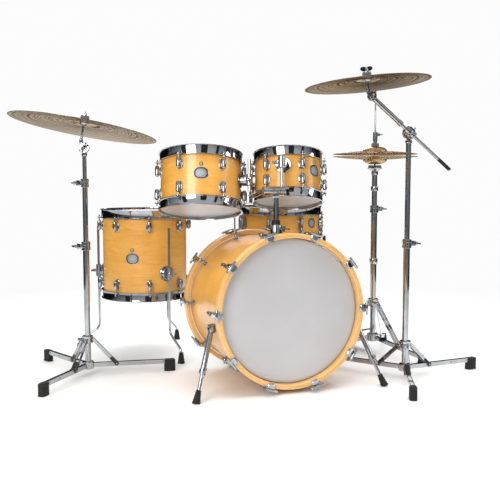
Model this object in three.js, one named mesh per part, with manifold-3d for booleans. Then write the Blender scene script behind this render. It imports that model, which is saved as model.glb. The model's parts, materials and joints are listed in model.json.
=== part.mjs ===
// A five-drum acoustic kit with its cymbal stands, hi-hat and bass pedal, in millimetres with +Z up.
// The front head of the bass drum faces -Y, and the player sits on the +Y side.
import * as THREE from "three";
import { mergeVertices } from "three/addons/utils/BufferGeometryUtils.js";
import Module from "manifold-3d";

const wasm = await Module();
wasm.setup();

// ---------------------------------------------------------------- driving dimensions
const GAP = 0.4; // clearance between neighbouring pieces
const RATCHET_GAP = 1.2; // half the gap between the two plates of a ratchet
const DRUM_SIDES = 28; // facets round a drum or a cymbal
const BASS_SIDES = 36;
const TUBE_SIDES = 10;

// Drums: shell radius and depth, hoop outer radius, lugs at each end and the angle of the first one.
const BASS = { radius: 254, depth: 406, wall: 8, lugs: 10, lugInset: 50 };
const BASS_HOOP = { inner: 258, outer: 275, width: 40, overall: 466, frontLift: 14 };
const TOM_12 = { radius: 152.4, depth: 203, hoopOuter: 165, lugs: 6, firstLug: 4 };
const TOM_10 = { radius: 127, depth: 172, hoopOuter: 139.7, lugs: 6, firstLug: -9.5 };
const FLOOR_TOM = { radius: 177.8, depth: 355.6, hoopOuter: 190.5, lugs: 8, firstLug: -5.9 };
const SNARE = { radius: 177.8, depth: 140, hoopOuter: 190.5, lugs: 8, firstLug: 7.9, longLug: 78 };
const STRAINER_ANGLE = 165.4;
const SHELL_WALL = 7;
const HOOP_HEIGHT = 37;
const HOOP_OVER = 12; // how far a metal hoop stands above the shell edge
const LUG = { rise: 22, width: 20, length: 34, inset: 59 };

// Places of the drums' centres.
const TOM_12_CENTRE = [-217, 413, 734];
const TOM_10_CENTRE = [113, 337, 753];
const FLOOR_TOM_CENTRE = [-349, 846, 434];
const SNARE_CENTRE = [276, 839, 547];
const TOM_LEAN = 13.5; // degrees that the toms lean back to the player
const VIEW_TURN = -18.947; // degrees from +Y to the direction in which the toms lean

// Tom mount: one post on the bass drum with an arm to each tom.
const MOUNT_Y = 170;
const POST = { radius: 9.5, bottom: 480, blockZ: 709, blockHalf: 12, blockRadius: 16 };
const ARM_RADIUS = 6.4;
const RIGHT_ARM_FOOT = [23, 172, 709];
const LEFT_ARM_FOOT = [-38, 172, 709];
const LEFT_ARM_ELBOW = [-56, 306, 680];

// Bass drum spurs.
const SPUR = { angle: 11, y: 75, footX: 356, footY: -16 };

// Floor tom legs.
const FLOOR_LEG = { angles: [48.3, 168.3, -71.7], radial: 198, footRadial: 286, hubZ: 360 };
const FLOOR_LEG_HEIGHTS = { top: 550, bend: 112, step: 56, foot: 44 };

// Cymbals: radius, height of bow and bell.
const RIDE = { radius: 277, bow: 16, bell: 62, bellRise: 18 };
const CRASH = { radius: 229, bow: 13, bell: 52, bellRise: 17 };
const HIHAT = { radius: 178, bow: 11, bell: 52, bellRise: 20 };
const CYMBAL_THICK = 1.8;
const CYMBAL_HOLE = 6.5;

// Stands: column place, feet radius and angles, heights of collar and clamps.
const FLAT_BASE = { feet: 315, legZ: 38, footLength: 44, footWidth: 27, footHeight: 46, braceOut: 108 };
const LOWER_TUBE = { outer: 11.9, inner: 10.2 };
const MIDDLE_TUBE = { outer: 9.6, inner: 8.2 };
const UPPER_TUBE = { outer: 7.6 };
const RIDE_STAND = { x: -644, y: 509, firstLeg: -6.6, collar: 139, clamp: 498, upperClamp: 737, tilter: 868 };
const RIDE_TILT = { right: 9.3, back: 5.5, rise: 106, side: -14 };
const CRASH_STAND = { x: 492, y: 80, firstLeg: 5.4, collar: 127, clamp: 510, boomClamp: 922 };
const BOOM = { top: [342, 105, 1057], tail: [622, 9, 786], radius: 6, sleeve: 9.5, offset: 24 };
const CRASH_TILT = { right: -5, back: 1.7, rise: 74, side: -14 };
const HIHAT_STAND = { x: 578, y: 507, feet: 265, collar: 220, clamp: 623, seat: 808, cymbal: 845, rodTop: 1128 };
const HIHAT_OPEN = 12; // gap between the two hi-hat cymbals at rest
const HIHAT_HEADING = 110.6; // degrees; the way that the hi-hat pedal points to the player
const SNARE_STAND = { feet: 240, collar: 190, clamp: 330, hub: 418 };

// Bass pedal behind the rear head.
const PEDAL = { axleY: 508, axleZ: 165, halfWidth: 34, heelY: 760, hoopY: 459 };
const BEATER = { reach: 140, back: 42 }; // shaft length, and degrees that it rests behind upright

// ---------------------------------------------------------------- materials
const finish = (color, roughness, metalness = 0) =>
  new THREE.MeshStandardMaterial({ color, roughness, metalness });
const MAPLE = finish("#dd9a3e", 0.35);
const MAPLE_HOOP = finish("#efb565", 0.4);
const CHROME = finish("#c9ccd1", 0.12, 1);
const BRONZE = finish("#b08a4e", 0.3, 1);
const FILM = finish("#d3cdca", 0.45);

// ---------------------------------------------------------------- geometry helpers
const radians = THREE.MathUtils.degToRad;
const vec = (x, y, z) => new THREE.Vector3(x, y, z);
const around = (radial, degrees, z) =>
  vec(radial * Math.cos(radians(degrees)), radial * Math.sin(radians(degrees)), z);

// A profile of [radius, z] pairs turned about Z. It starts and ends on the axis, or closes on itself.
function turned(profile, sides) {
  const points = profile.map(([radius, z]) => new THREE.Vector2(radius, z));
  return new THREE.LatheGeometry(points, sides).rotateX(Math.PI / 2);
}

function tube(outer, inner, low, high, sides = TUBE_SIDES) {
  return turned([[inner, low], [outer, low], [outer, high], [inner, high], [inner, low]], sides);
}

function disc(radius, low, high, sides = TUBE_SIDES) {
  return turned([[0, low], [radius, low], [radius, high], [0, high]], sides);
}

// A round bar from one point to another, tapering from one radius to the other.
function bar(from, to, startRadius, endRadius = startRadius, sides = TUBE_SIDES) {
  const along = to.clone().sub(from);
  const shape = turned([[0, 0], [startRadius, 0], [endRadius, along.length()], [0, along.length()]], sides);
  const turn = new THREE.Quaternion().setFromUnitVectors(vec(0, 0, 1), along.normalize());
  return shape.applyQuaternion(turn).translate(from.x, from.y, from.z);
}

// A flat bar from one point to another, with its width level.
function strap(from, to, width, thickness) {
  const along = to.clone().sub(from);
  const level = vec(0, 0, 1).cross(along).normalize();
  const forward = along.clone().normalize();
  const turn = new THREE.Matrix4().makeBasis(forward, level, forward.clone().cross(level));
  const middle = from.clone().add(to).multiplyScalar(0.5);
  const shape = new THREE.BoxGeometry(along.length(), width, thickness);
  return shape.applyMatrix4(turn).translate(middle.x, middle.y, middle.z);
}

// A block standing on a round shell: its depth points outwards from the Z axis.
function blockOut(inner, outer, width, height, degrees, z) {
  const shape = new THREE.BoxGeometry(outer - inner, width, height).translate((inner + outer) / 2, 0, z);
  return shape.rotateZ(radians(degrees));
}

function solid(geometry) {
  const bare = new THREE.BufferGeometry().setAttribute("position", geometry.getAttribute("position"));
  if (geometry.index) bare.setIndex(geometry.index);
  const merged = mergeVertices(bare, 1e-3);
  return new wasm.Manifold(
    new wasm.Mesh({
      numProp: 3,
      vertProperties: new Float32Array(merged.attributes.position.array),
      triVerts: new Uint32Array(merged.index.array),
    }),
  );
}

function fromSolid(made) {
  const mesh = made.getMesh();
  return new THREE.BufferGeometry()
    .setAttribute("position", new THREE.BufferAttribute(mesh.vertProperties, 3))
    .setIndex(new THREE.BufferAttribute(mesh.triVerts, 1));
}

const join = (...shapes) => fromSolid(shapes.map(solid).reduce((all, next) => all.add(next)));
const cut = (shape, ...tools) =>
  fromSolid(tools.map(solid).reduce((all, next) => all.subtract(next), solid(shape)));

function piece(parent, name, geometry, material) {
  geometry.computeVertexNormals();
  const mesh = new THREE.Mesh(geometry, material);
  mesh.name = name;
  parent.add(mesh);
  return mesh;
}

// A group at a place, with Z along one direction and Y as near as can be to another.
function frameAt(parent, place, zAxis, yHint) {
  const group = new THREE.Group();
  const z = zAxis.clone().normalize();
  const x = yHint.clone().cross(z).normalize();
  group.quaternion.setFromRotationMatrix(new THREE.Matrix4().makeBasis(x, z.clone().cross(x), z));
  group.position.set(...place);
  parent.add(group);
  return group;
}

const kit = new THREE.Group();
const UP = vec(0, 0, 1);
const AWAY = around(1, 90 + VIEW_TURN, 0); // level, the way that the toms lean
const ASIDE = AWAY.clone().cross(UP); // level, to the right of it

// ---------------------------------------------------------------- drums with metal hoops
function metalHoop(radius, hoopOuter) {
  const inner = radius + 3;
  return turned(
    [
      [inner, 0],
      [hoopOuter, 0],
      [hoopOuter, 2.8],
      [inner + 3, 2.8],
      [inner + 3, HOOP_HEIGHT],
      [inner, HOOP_HEIGHT],
      [inner, 0],
    ],
    DRUM_SIDES,
  );
}

function shellLugs(radius, lugs, firstLug, rows, length) {
  const blocks = [];
  for (const row of rows) {
    for (let i = 0; i < lugs; i++) {
      const degrees = firstLug + (i * 360) / lugs;
      blocks.push(blockOut(radius - 3, radius + LUG.rise, LUG.width, length, degrees, row));
    }
  }
  return blocks;
}

// Shell with its lugs, two hoops and two heads. The brackets are joined to the shell and the holes cut in it.
function drum(parent, name, sizes, brackets = [], holes = []) {
  const { radius, depth, hoopOuter, lugs, firstLug, longLug } = sizes;
  const half = depth / 2;
  const rows = longLug ? [0] : [LUG.inset - half, half - LUG.inset];
  const body = join(
    tube(radius, radius - SHELL_WALL, -half, half, DRUM_SIDES),
    ...shellLugs(radius, lugs, firstLug, rows, longLug || LUG.length),
    ...brackets,
  );
  piece(parent, `${name}_shell`, holes.length ? cut(body, ...holes) : body, MAPLE);
  for (const [end, hoop, head] of [[1, "top_hoop", "batter_head"], [-1, "bottom_hoop", "resonant_head"]]) {
    const rim = piece(parent, `${name}_${hoop}`, metalHoop(radius, hoopOuter), CHROME);
    rim.position.z = end * (half + HOOP_OVER - HOOP_HEIGHT);
    rim.rotation.x = end > 0 ? 0 : Math.PI;
    const skin = piece(parent, `${name}_${head}`, disc(radius + 2.2, GAP, GAP + 1, DRUM_SIDES), FILM);
    skin.position.z = end * half;
    skin.rotation.x = end > 0 ? 0 : Math.PI;
  }
}

// ---------------------------------------------------------------- bass drum
const bassTilt = Math.asin(BASS_HOOP.frontLift / BASS_HOOP.overall);
const bassAxis = vec(0, -Math.cos(bassTilt), Math.sin(bassTilt));
const bassCentreZ = BASS_HOOP.outer + BASS_HOOP.frontLift / 2 + 1;
const bass = frameAt(kit, [0, BASS_HOOP.overall / 2, bassCentreZ], bassAxis, UP);
const spurZ = (BASS_HOOP.overall / 2 - SPUR.y) / Math.cos(bassTilt);
const spurAngles = { left: 180 + SPUR.angle, right: -SPUR.angle };

const mountZ = (BASS_HOOP.overall / 2 - MOUNT_Y + BASS.radius * Math.sin(bassTilt)) / Math.cos(bassTilt);

function buildBassShell() {
  const half = BASS.depth / 2;
  const brackets = Object.values(spurAngles).map((degrees) =>
    blockOut(BASS.radius - 3, BASS.radius + 13, 42, 52, degrees, spurZ),
  );
  const body = join(
    tube(BASS.radius, BASS.radius - BASS.wall, -half, half, BASS_SIDES),
    ...shellLugs(BASS.radius, BASS.lugs, 0, [BASS.lugInset - half, half - BASS.lugInset], LUG.length),
    ...brackets,
  );
  const mountHole = bar(vec(0, 200, mountZ), vec(0, 300, mountZ), POST.radius + 4);
  piece(bass, "bass_shell", cut(body, mountHole), MAPLE);
}

function buildBassHoop(name, end) {
  const low = BASS_HOOP.overall / 2 - BASS_HOOP.width;
  const high = BASS_HOOP.overall / 2;
  const { inner, outer } = BASS_HOOP;
  const claws = [];
  for (let i = 0; i < BASS.lugs; i++) {
    const degrees = (i * 360) / BASS.lugs;
    claws.push(blockOut(outer - 4, outer + 11, 24, BASS_HOOP.width + 6, degrees, (low + high) / 2 + 2));
  }
  const hoop = piece(bass, name, join(tube(outer, inner, low, high, BASS_SIDES), ...claws), MAPLE_HOOP);
  hoop.rotation.y = end > 0 ? 0 : Math.PI;
}

function buildBassHead(name, end) {
  const low = BASS.depth / 2 + GAP;
  const head = piece(bass, name, disc(BASS_HOOP.inner - GAP, low, low + 1.2, BASS_SIDES), FILM);
  head.rotation.y = end > 0 ? 0 : Math.PI;
}

buildBassShell();
buildBassHoop("bass_front_hoop", 1);
buildBassHoop("bass_rear_hoop", -1);
buildBassHead("bass_front_head", 1);
buildBassHead("bass_batter_head", -1);

// A spur is a sleeve and an inner rod on a round hub, with a rubber foot that widens to the floor.
function buildSpur(side) {
  const sign = side === "left" ? -1 : 1;
  bass.updateWorldMatrix(true, false);
  const hub = bass.localToWorld(around(BASS.radius + 26, spurAngles[side], spurZ));
  const hubFace = bass.localToWorld(around(BASS.radius + 13 + GAP, spurAngles[side], spurZ));
  const hubBack = bass.localToWorld(around(BASS.radius + 38, spurAngles[side], spurZ));
  const foot = vec(sign * SPUR.footX, SPUR.footY, 0);
  const footTop = foot.clone().lerp(hub, 0.15);
  const sleeveEnd = foot.clone().lerp(hub, 0.4);
  const geometry = join(
    bar(hubFace, hubBack, 19),
    bar(sleeveEnd, hub, 9.5),
    bar(footTop, sleeveEnd.clone().lerp(hub, 0.05), 6),
    bar(foot, vec(footTop.x, footTop.y, footTop.z), 15, 10),
  );
  const floor = new THREE.BoxGeometry(80, 80, 40).translate(foot.x, foot.y, -20);
  piece(kit, `bass_spur_${side}`, cut(geometry, floor), CHROME);
}

buildSpur("left");
buildSpur("right");

// ---------------------------------------------------------------- tom mount on the bass drum
function buildMountBracket() {
  const top = 540;
  const plate = new THREE.BoxGeometry(66, 74, 34).translate(0, MOUNT_Y, top + 5);
  const collar = disc(22, top, top + 50).translate(0, MOUNT_Y, 0);
  const bore = disc(POST.radius + GAP, 480, 640).translate(0, MOUNT_Y, 0);
  const clearShell = disc(BASS.radius + GAP, -BASS.depth / 2, BASS.depth / 2, BASS_SIDES);
  bass.updateWorldMatrix(true, false);
  clearShell.applyMatrix4(bass.matrixWorld);
  piece(kit, "tom_mount_bracket", cut(join(plate, collar), bore, clearShell), CHROME);
}

function buildPost() {
  const post = new THREE.Group();
  post.position.set(0, MOUNT_Y, 0);
  kit.add(post);
  const shape = join(
    disc(POST.radius, POST.bottom, POST.blockZ),
    bar(vec(-POST.blockHalf, 2, POST.blockZ), vec(POST.blockHalf, 2, POST.blockZ), POST.blockRadius),
  );
  piece(post, "tom_mount_post", shape, CHROME);
}

buildMountBracket();
buildPost();

const tomAxis = UP.clone().multiplyScalar(Math.cos(radians(TOM_LEAN)));
tomAxis.addScaledVector(AWAY, Math.sin(radians(TOM_LEAN)));

// The round hub of an arm, beside the block on the post.
function armHub(sign, outer) {
  const start = vec(sign * (POST.blockHalf + GAP), MOUNT_Y + 2, POST.blockZ);
  return bar(start, vec(sign * outer, MOUNT_Y + 2, POST.blockZ), POST.blockRadius);
}

// Each arm ends in a rod that rises along its tom's own axis.
function buildArms() {
  const foot = vec(...RIGHT_ARM_FOOT);
  const rodEnd = foot.clone().addScaledVector(tomAxis, 132);
  piece(kit, "tom_arm_right", join(armHub(1, 34), bar(foot, rodEnd, ARM_RADIUS)), CHROME);

  const start = vec(...LEFT_ARM_FOOT);
  const elbow = vec(...LEFT_ARM_ELBOW);
  const block = new THREE.BoxGeometry(24, 26, 44);
  block.applyQuaternion(new THREE.Quaternion().setFromUnitVectors(UP, tomAxis));
  block.translate(elbow.x, elbow.y, elbow.z);
  const rod = bar(elbow, elbow.clone().addScaledVector(tomAxis, 150), ARM_RADIUS);
  piece(kit, "tom_arm_left", join(armHub(-1, 50), bar(start, elbow, ARM_RADIUS + 1), block, rod), CHROME);
}

buildArms();

// ---------------------------------------------------------------- rack toms
// The rod of an arm passes through the bracket on the tom, parallel to the tom's axis.
function rackTom(name, sizes, centre, rodPoint, bracketZ) {
  const frame = frameAt(kit, centre, tomAxis, AWAY);
  frame.updateWorldMatrix(true, false);
  const rod = frame.worldToLocal(vec(...rodPoint));
  const radial = Math.hypot(rod.x, rod.y);
  const degrees = THREE.MathUtils.radToDeg(Math.atan2(rod.y, rod.x));
  drum(frame, name, sizes);
  const plateFoot = around(sizes.radius + GAP, degrees, bracketZ);
  const plate = bar(plateFoot, around(radial - 4, degrees, bracketZ), 27, 22);
  const hub = disc(13, bracketZ - 22, bracketZ + 22).translate(rod.x, rod.y, 0);
  const bore = disc(ARM_RADIUS + GAP, bracketZ - 60, bracketZ + 60).translate(rod.x, rod.y, 0);
  piece(frame, `${name}_bracket`, cut(join(plate, hub), bore), CHROME);
}

rackTom("tom_12", TOM_12, TOM_12_CENTRE, LEFT_ARM_ELBOW, 5);
rackTom("tom_10", TOM_10, TOM_10_CENTRE, RIGHT_ARM_FOOT, 22);

// ---------------------------------------------------------------- floor tom with three legs
const floorTom = frameAt(kit, FLOOR_TOM_CENTRE, UP, vec(0, 1, 0));
const hubLocal = FLOOR_LEG.hubZ - FLOOR_TOM_CENTRE[2];
const floorBrackets = FLOOR_LEG.angles.map((degrees) =>
  bar(around(FLOOR_TOM.radius - 3, degrees, hubLocal), around(FLOOR_LEG.radial + 12, degrees, hubLocal), 32, 22),
);
const floorHoles = FLOOR_LEG.angles.map((degrees) => {
  const place = around(FLOOR_LEG.radial, degrees, hubLocal);
  return disc(5 + GAP, -60, 60).translate(place.x, place.y, place.z);
});
drum(floorTom, "floor_tom", FLOOR_TOM, floorBrackets, floorHoles);

// A leg runs straight down its bracket, steps outwards below the drum and ends upright in a rubber foot.
function buildFloorLeg(degrees, index) {
  const ground = -FLOOR_TOM_CENTRE[2];
  const { radial, footRadial } = FLOOR_LEG;
  const { top, bend: bendZ, step: stepZ, foot: footHeight } = FLOOR_LEG_HEIGHTS;
  const bend = around(radial, degrees, ground + bendZ);
  const step = around(footRadial, degrees, ground + stepZ);
  const foot = around(footRadial, degrees, ground);
  const shapes = [
    bar(bend, bend.clone().setZ(ground + top), 5),
    bar(bend, step, 5),
    bar(foot.clone().setZ(ground + 20), step, 5),
    bar(foot, foot.clone().setZ(ground + footHeight), 16, 10),
    new THREE.IcosahedronGeometry(5.6, 1).translate(bend.x, bend.y, bend.z),
    new THREE.IcosahedronGeometry(5.6, 1).translate(step.x, step.y, step.z),
  ];
  piece(floorTom, `floor_tom_leg_${index + 1}`, join(...shapes), CHROME);
}

FLOOR_LEG.angles.forEach(buildFloorLeg);

// ---------------------------------------------------------------- stands
// A ring clamp on top of a tube, with the ear and wing of its screw to one side.
function clamp(height, outer, side) {
  return join(
    disc(outer + 5, height - 16, height + 16),
    new THREE.BoxGeometry(34, 14, 22).translate(side * (outer + 8), 0, height),
    new THREE.BoxGeometry(8, 40, 14).translate(side * (outer + 28), 0, height),
  );
}

// A flat base: three level legs on rubber feet, each held by a strap from a collar on the lower tube.
function flatBase(parent, name, stand, clampSide) {
  const shapes = [
    disc(LOWER_TUBE.outer, 24, stand.clamp),
    disc(23, 24, 52),
    disc(22, stand.collar - 14, stand.collar + 14),
    clamp(stand.clamp, LOWER_TUBE.outer, clampSide),
  ];
  for (let i = 0; i < 3; i++) {
    const degrees = stand.firstLeg + i * 120;
    const { feet, legZ, footLength, footWidth, footHeight, braceOut } = FLAT_BASE;
    const half = footLength / 2;
    shapes.push(strap(around(10, degrees, legZ), around(feet, degrees, legZ), 17, 13));
    shapes.push(blockOut(feet - half, feet + half, footWidth, footHeight, degrees, footHeight / 2));
    shapes.push(strap(around(16, degrees, stand.collar), around(braceOut, degrees, legZ + 4), 13, 5));
  }
  const bore = disc(LOWER_TUBE.inner, stand.collar + 30, stand.clamp + 40);
  piece(parent, name, cut(join(...shapes), bore), CHROME);
}

function standFrame(stand) {
  const frame = new THREE.Group();
  frame.position.set(stand.x, stand.y, 0);
  kit.add(frame);
  return frame;
}

// A cymbal with its bell up, its edge at z = 0 and a round hole in the middle.
function cymbal({ radius, bow, bell, bellRise }) {
  const upper = [
    [radius, 0],
    [radius * 0.62, bow * 0.6],
    [bell, bow],
    [bell * 0.55, bow + bellRise * 0.85],
    [CYMBAL_HOLE, bow + bellRise],
  ];
  const lower = upper.map(([r, z]) => [r, z - CYMBAL_THICK]).reverse();
  return turned([...lower, ...upper, lower[0]], DRUM_SIDES);
}

// The upright leaned by so many degrees to the right and back.
function leaning({ right, back }) {
  const lean = UP.clone().addScaledVector(ASIDE, Math.tan(radians(right)));
  return lean.addScaledVector(AWAY, Math.tan(radians(back)));
}

// The seat, rod and wing nut that hold a cymbal, with the rod along Z and the cymbal's middle at z = rise.
function cymbalHolder(rise, side) {
  const rod = disc(3.9, 0, rise + 32).translate(side, 0, 0);
  const seatProfile = [[0, rise - 22], [8, rise - 22], [17, rise - 14], [17, rise - 9], [0, rise - 9]];
  const seat = turned(seatProfile, TUBE_SIDES);
  const nut = disc(8, rise + 16, rise + 28).translate(side, 0, 0);
  const wings = new THREE.BoxGeometry(40, 5, 13).translate(side, 0, rise + 26);
  return [rod, seat.translate(side, 0, 0), nut, wings];
}

// The fixed half of a ratchet on top of a tube: a neck behind the tube's axis and a toothed plate.
function fixedRatchet(height, radius, neck) {
  const behind = AWAY.clone().multiplyScalar(neck + RATCHET_GAP);
  const face = AWAY.clone().multiplyScalar(RATCHET_GAP);
  const back = AWAY.clone().multiplyScalar(14);
  return [
    bar(behind.clone().setZ(height - radius - 18), behind.clone().setZ(height - 4), neck),
    bar(face.setZ(height), back.setZ(height), radius),
  ];
}

// ---------------------------------------------------------------- ride cymbal stand
function buildRide() {
  const stand = RIDE_STAND;
  const frame = standFrame(stand);
  flatBase(frame, "ride_stand_base", stand, -1);
  const middle = join(
    disc(MIDDLE_TUBE.outer, stand.clamp - 150, stand.upperClamp),
    clamp(stand.upperClamp, MIDDLE_TUBE.outer, -1),
  );
  const middleBore = disc(MIDDLE_TUBE.inner, stand.clamp - 160, stand.upperClamp + 40);
  piece(frame, "ride_middle_tube", cut(middle, middleBore), CHROME);

  const upper = join(
    disc(UPPER_TUBE.outer, stand.upperClamp - 150, stand.tilter - 22),
    ...fixedRatchet(stand.tilter, 19, 5.5),
  );
  piece(frame, "ride_upper_tube", upper, CHROME);

  const tilt = frameAt(frame, [0, 0, stand.tilter], leaning(RIDE_TILT), AWAY);
  const holder = cymbalHolder(RIDE_TILT.rise, RIDE_TILT.side).map((shape) => shape.translate(0, -8, 0));
  const ratchet = bar(vec(0, -RATCHET_GAP, 0), vec(0, -14, 0), 19);
  const arm = new THREE.BoxGeometry(34, 11, 22).translate(RIDE_TILT.side / 2, -8, 12);
  piece(tilt, "ride_tilter", join(ratchet, arm, ...holder), CHROME);
  const ride = piece(tilt, "ride_cymbal", cymbal(RIDE), BRONZE);
  ride.position.set(RIDE_TILT.side, -8, RIDE_TILT.rise - RIDE.bow - RIDE.bellRise);
}

buildRide();

// ---------------------------------------------------------------- crash cymbal on a boom stand
function buildCrash() {
  const stand = CRASH_STAND;
  const frame = standFrame(stand);
  flatBase(frame, "crash_stand_base", stand, 1);
  const upper = join(
    disc(MIDDLE_TUBE.outer, stand.clamp - 150, stand.boomClamp - 28),
    ...fixedRatchet(stand.boomClamp, 24, 6),
  );
  piece(frame, "crash_upper_tube", upper, CHROME);

  const top = vec(...BOOM.top).sub(frame.position);
  const tail = vec(...BOOM.tail).sub(frame.position);
  const along = tail.clone().sub(top).normalize();
  const pivot = AWAY.clone().multiplyScalar(-BOOM.offset).setZ(stand.boomClamp);
  const plate = bar(AWAY.clone().multiplyScalar(-RATCHET_GAP), AWAY.clone().multiplyScalar(-15), 24);
  plate.translate(0, 0, stand.boomClamp);
  const sleeve = bar(pivot.clone().addScaledVector(along, -22), pivot.clone().addScaledVector(along, 22), 14);
  const boreFoot = pivot.clone().addScaledVector(along, -60);
  const bore = bar(boreFoot, pivot.clone().addScaledVector(along, 60), BOOM.radius + GAP);
  piece(frame, "boom_clamp", cut(join(plate, sleeve), bore), CHROME);

  const half = top.distanceTo(tail) / 2;
  const start = pivot.clone().addScaledVector(along, -half + 6);
  const end = pivot.clone().addScaledVector(along, half + 4);
  const hubFace = start.clone().addScaledVector(AWAY, -BOOM.sleeve);
  const hub = bar(hubFace, start.clone().addScaledVector(AWAY, 10), 17);
  const sleeveEnd = pivot.clone().addScaledVector(along, -44);
  const lower = bar(start, sleeveEnd, BOOM.sleeve);
  piece(frame, "boom_arm", join(bar(start, end, BOOM.radius), lower, hub), CHROME);

  const hinge = start.clone().addScaledVector(AWAY, -BOOM.sleeve).toArray();
  const tilt = frameAt(frame, hinge, leaning(CRASH_TILT), AWAY);
  const { rise, side } = CRASH_TILT;
  const holder = cymbalHolder(rise, side).map((shape) => shape.translate(0, -8, 0));
  const ratchet = bar(vec(0, -RATCHET_GAP, 0), vec(0, -14, 0), 17);
  const arm = new THREE.BoxGeometry(30, 11, 20).translate(side / 2, -8, 12);
  piece(tilt, "crash_tilter", join(ratchet, arm, ...holder), CHROME);
  const crash = piece(tilt, "crash_cymbal", cymbal(CRASH), BRONZE);
  crash.position.set(side, -8, rise - CRASH.bow - CRASH.bellRise);
}

buildCrash();

// ---------------------------------------------------------------- hi-hat
function buildHihat() {
  const stand = HIHAT_STAND;
  const frame = standFrame(stand);
  const heel = around(285, HIHAT_HEADING, 0);
  const across = around(1, HIHAT_HEADING + 90, 0);
  const shapes = [
    disc(12.7, 60, stand.clamp),
    disc(24, stand.collar - 16, stand.collar + 16),
    disc(25, 52, 84),
    clamp(stand.clamp, 12.7, 1),
  ];
  for (const turn of [60, 180, 300]) {
    const degrees = HIHAT_HEADING + turn;
    shapes.push(strap(around(14, degrees, 68), around(stand.feet, degrees, 24), 17, 11));
    shapes.push(disc(15, 0, 34).translate(...around(stand.feet, degrees, 0).toArray()));
    shapes.push(strap(around(14, degrees, stand.collar), around(150, degrees, 48), 13, 6));
  }
  for (const side of [-1, 1]) {
    const shift = across.clone().multiplyScalar(side * 48);
    const toe = around(6, HIHAT_HEADING, 62).addScaledVector(across, side * 24);
    shapes.push(bar(toe, heel.clone().add(shift).setZ(10), 4));
  }
  const heelPlate = strap(around(262, HIHAT_HEADING, 8), around(320, HIHAT_HEADING, 8), 92, 15);
  const bore = disc(11.5, 48, stand.clamp + 40);
  piece(frame, "hihat_base", cut(join(...shapes, heelPlate), bore), CHROME);

  const { seat: rim } = stand;
  const seatProfile = [[0, rim - 40], [14, rim - 40], [14, rim - 24], [30, rim - 12], [30, rim], [0, rim]];
  const seat = turned(seatProfile, TUBE_SIDES);
  const upper = join(disc(11, stand.clamp - 140, stand.seat - 30), seat);
  piece(frame, "hihat_tube", cut(upper, disc(4.6, 400, 900)), CHROME);

  const bottom = piece(frame, "hihat_bottom_cymbal", cymbal(HIHAT), BRONZE);
  bottom.rotation.x = Math.PI;
  bottom.position.z = stand.cymbal;
  const top = piece(frame, "hihat_top_cymbal", cymbal(HIHAT), BRONZE);
  top.position.z = stand.cymbal + HIHAT_OPEN;

  const crown = stand.cymbal + HIHAT_OPEN + HIHAT.bow + HIHAT.bellRise;
  const rod = join(
    disc(3.2, 130, stand.rodTop),
    disc(17, crown + GAP, crown + 14),
    disc(9, crown + 14, crown + 62),
    new THREE.BoxGeometry(44, 6, 14).translate(12, 0, crown + 52),
    disc(8, 112, 140),
  );
  piece(frame, "hihat_rod", rod, CHROME);

  const board = strap(around(258, HIHAT_HEADING, 16), around(34, HIHAT_HEADING, 96), 76, 7);
  piece(frame, "hihat_footboard", board, CHROME);
}

buildHihat();

// ---------------------------------------------------------------- snare drum on its basket stand
function buildSnare() {
  const frame = frameAt(kit, SNARE_CENTRE, UP, vec(0, 1, 0));
  const buttPlate = blockOut(SNARE.radius - 3, SNARE.radius + 16, 30, 42, STRAINER_ANGLE - 180, 0);
  drum(frame, "snare", SNARE, [buttPlate]);
  const face = SNARE.radius + GAP;
  const strainer = join(
    blockOut(face, face + 14, 34, 74, STRAINER_ANGLE, -4),
    blockOut(face, face + 23, 14, 16, STRAINER_ANGLE, -30),
  );
  piece(frame, "snare_strainer", strainer, CHROME);
  const pivot = around(face + 30, STRAINER_ANGLE, -27);
  const halfAxle = around(15, STRAINER_ANGLE + 90, 0);
  const lever = join(
    blockOut(face + 27, face + 34, 16, 66, STRAINER_ANGLE, 6),
    bar(pivot.clone().sub(halfAxle), pivot.clone().add(halfAxle), 6),
  );
  piece(frame, "snare_throw_off", lever, CHROME);

  const stand = SNARE_STAND;
  const column = new THREE.Group();
  column.position.set(SNARE_CENTRE[0], SNARE_CENTRE[1], 0);
  kit.add(column);
  const collar = disc(24, stand.collar - 14, stand.collar + 14);
  const shapes = [disc(14.3, 70, stand.clamp), collar, disc(22, 72, 96)];
  shapes.push(clamp(stand.clamp, 14.3, 1));
  for (const degrees of [30, 150, 270]) {
    shapes.push(strap(around(16, degrees, stand.collar), around(stand.feet - 8, degrees, 22), 16, 9));
    shapes.push(disc(15, 0, 34).translate(...around(stand.feet, degrees, 0).toArray()));
    shapes.push(strap(around(12, degrees, 84), around(130, degrees, 100), 11, 5));
  }
  piece(column, "snare_stand_base", cut(join(...shapes), disc(11.6, 60, stand.clamp + 40)), CHROME);

  const hoopFoot = SNARE_CENTRE[2] - SNARE.depth / 2 - HOOP_OVER;
  const arms = [disc(11.1, stand.clamp - 120, stand.hub), disc(24, stand.hub - 22, stand.hub + 8)];
  for (const degrees of [90, 210, 330]) {
    arms.push(strap(around(10, degrees, stand.hub - 6), around(196, degrees, hoopFoot - 14), 16, 9));
    const tipZ = hoopFoot - 7 - GAP / 2;
    arms.push(blockOut(SNARE.hoopOuter - 14, SNARE.hoopOuter + 16, 24, 14 - GAP, degrees, tipZ));
    arms.push(blockOut(SNARE.hoopOuter + 3, SNARE.hoopOuter + 16, 24, 44, degrees, hoopFoot + 8));
  }
  piece(column, "snare_basket", join(...arms), CHROME);
}

buildSnare();

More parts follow.
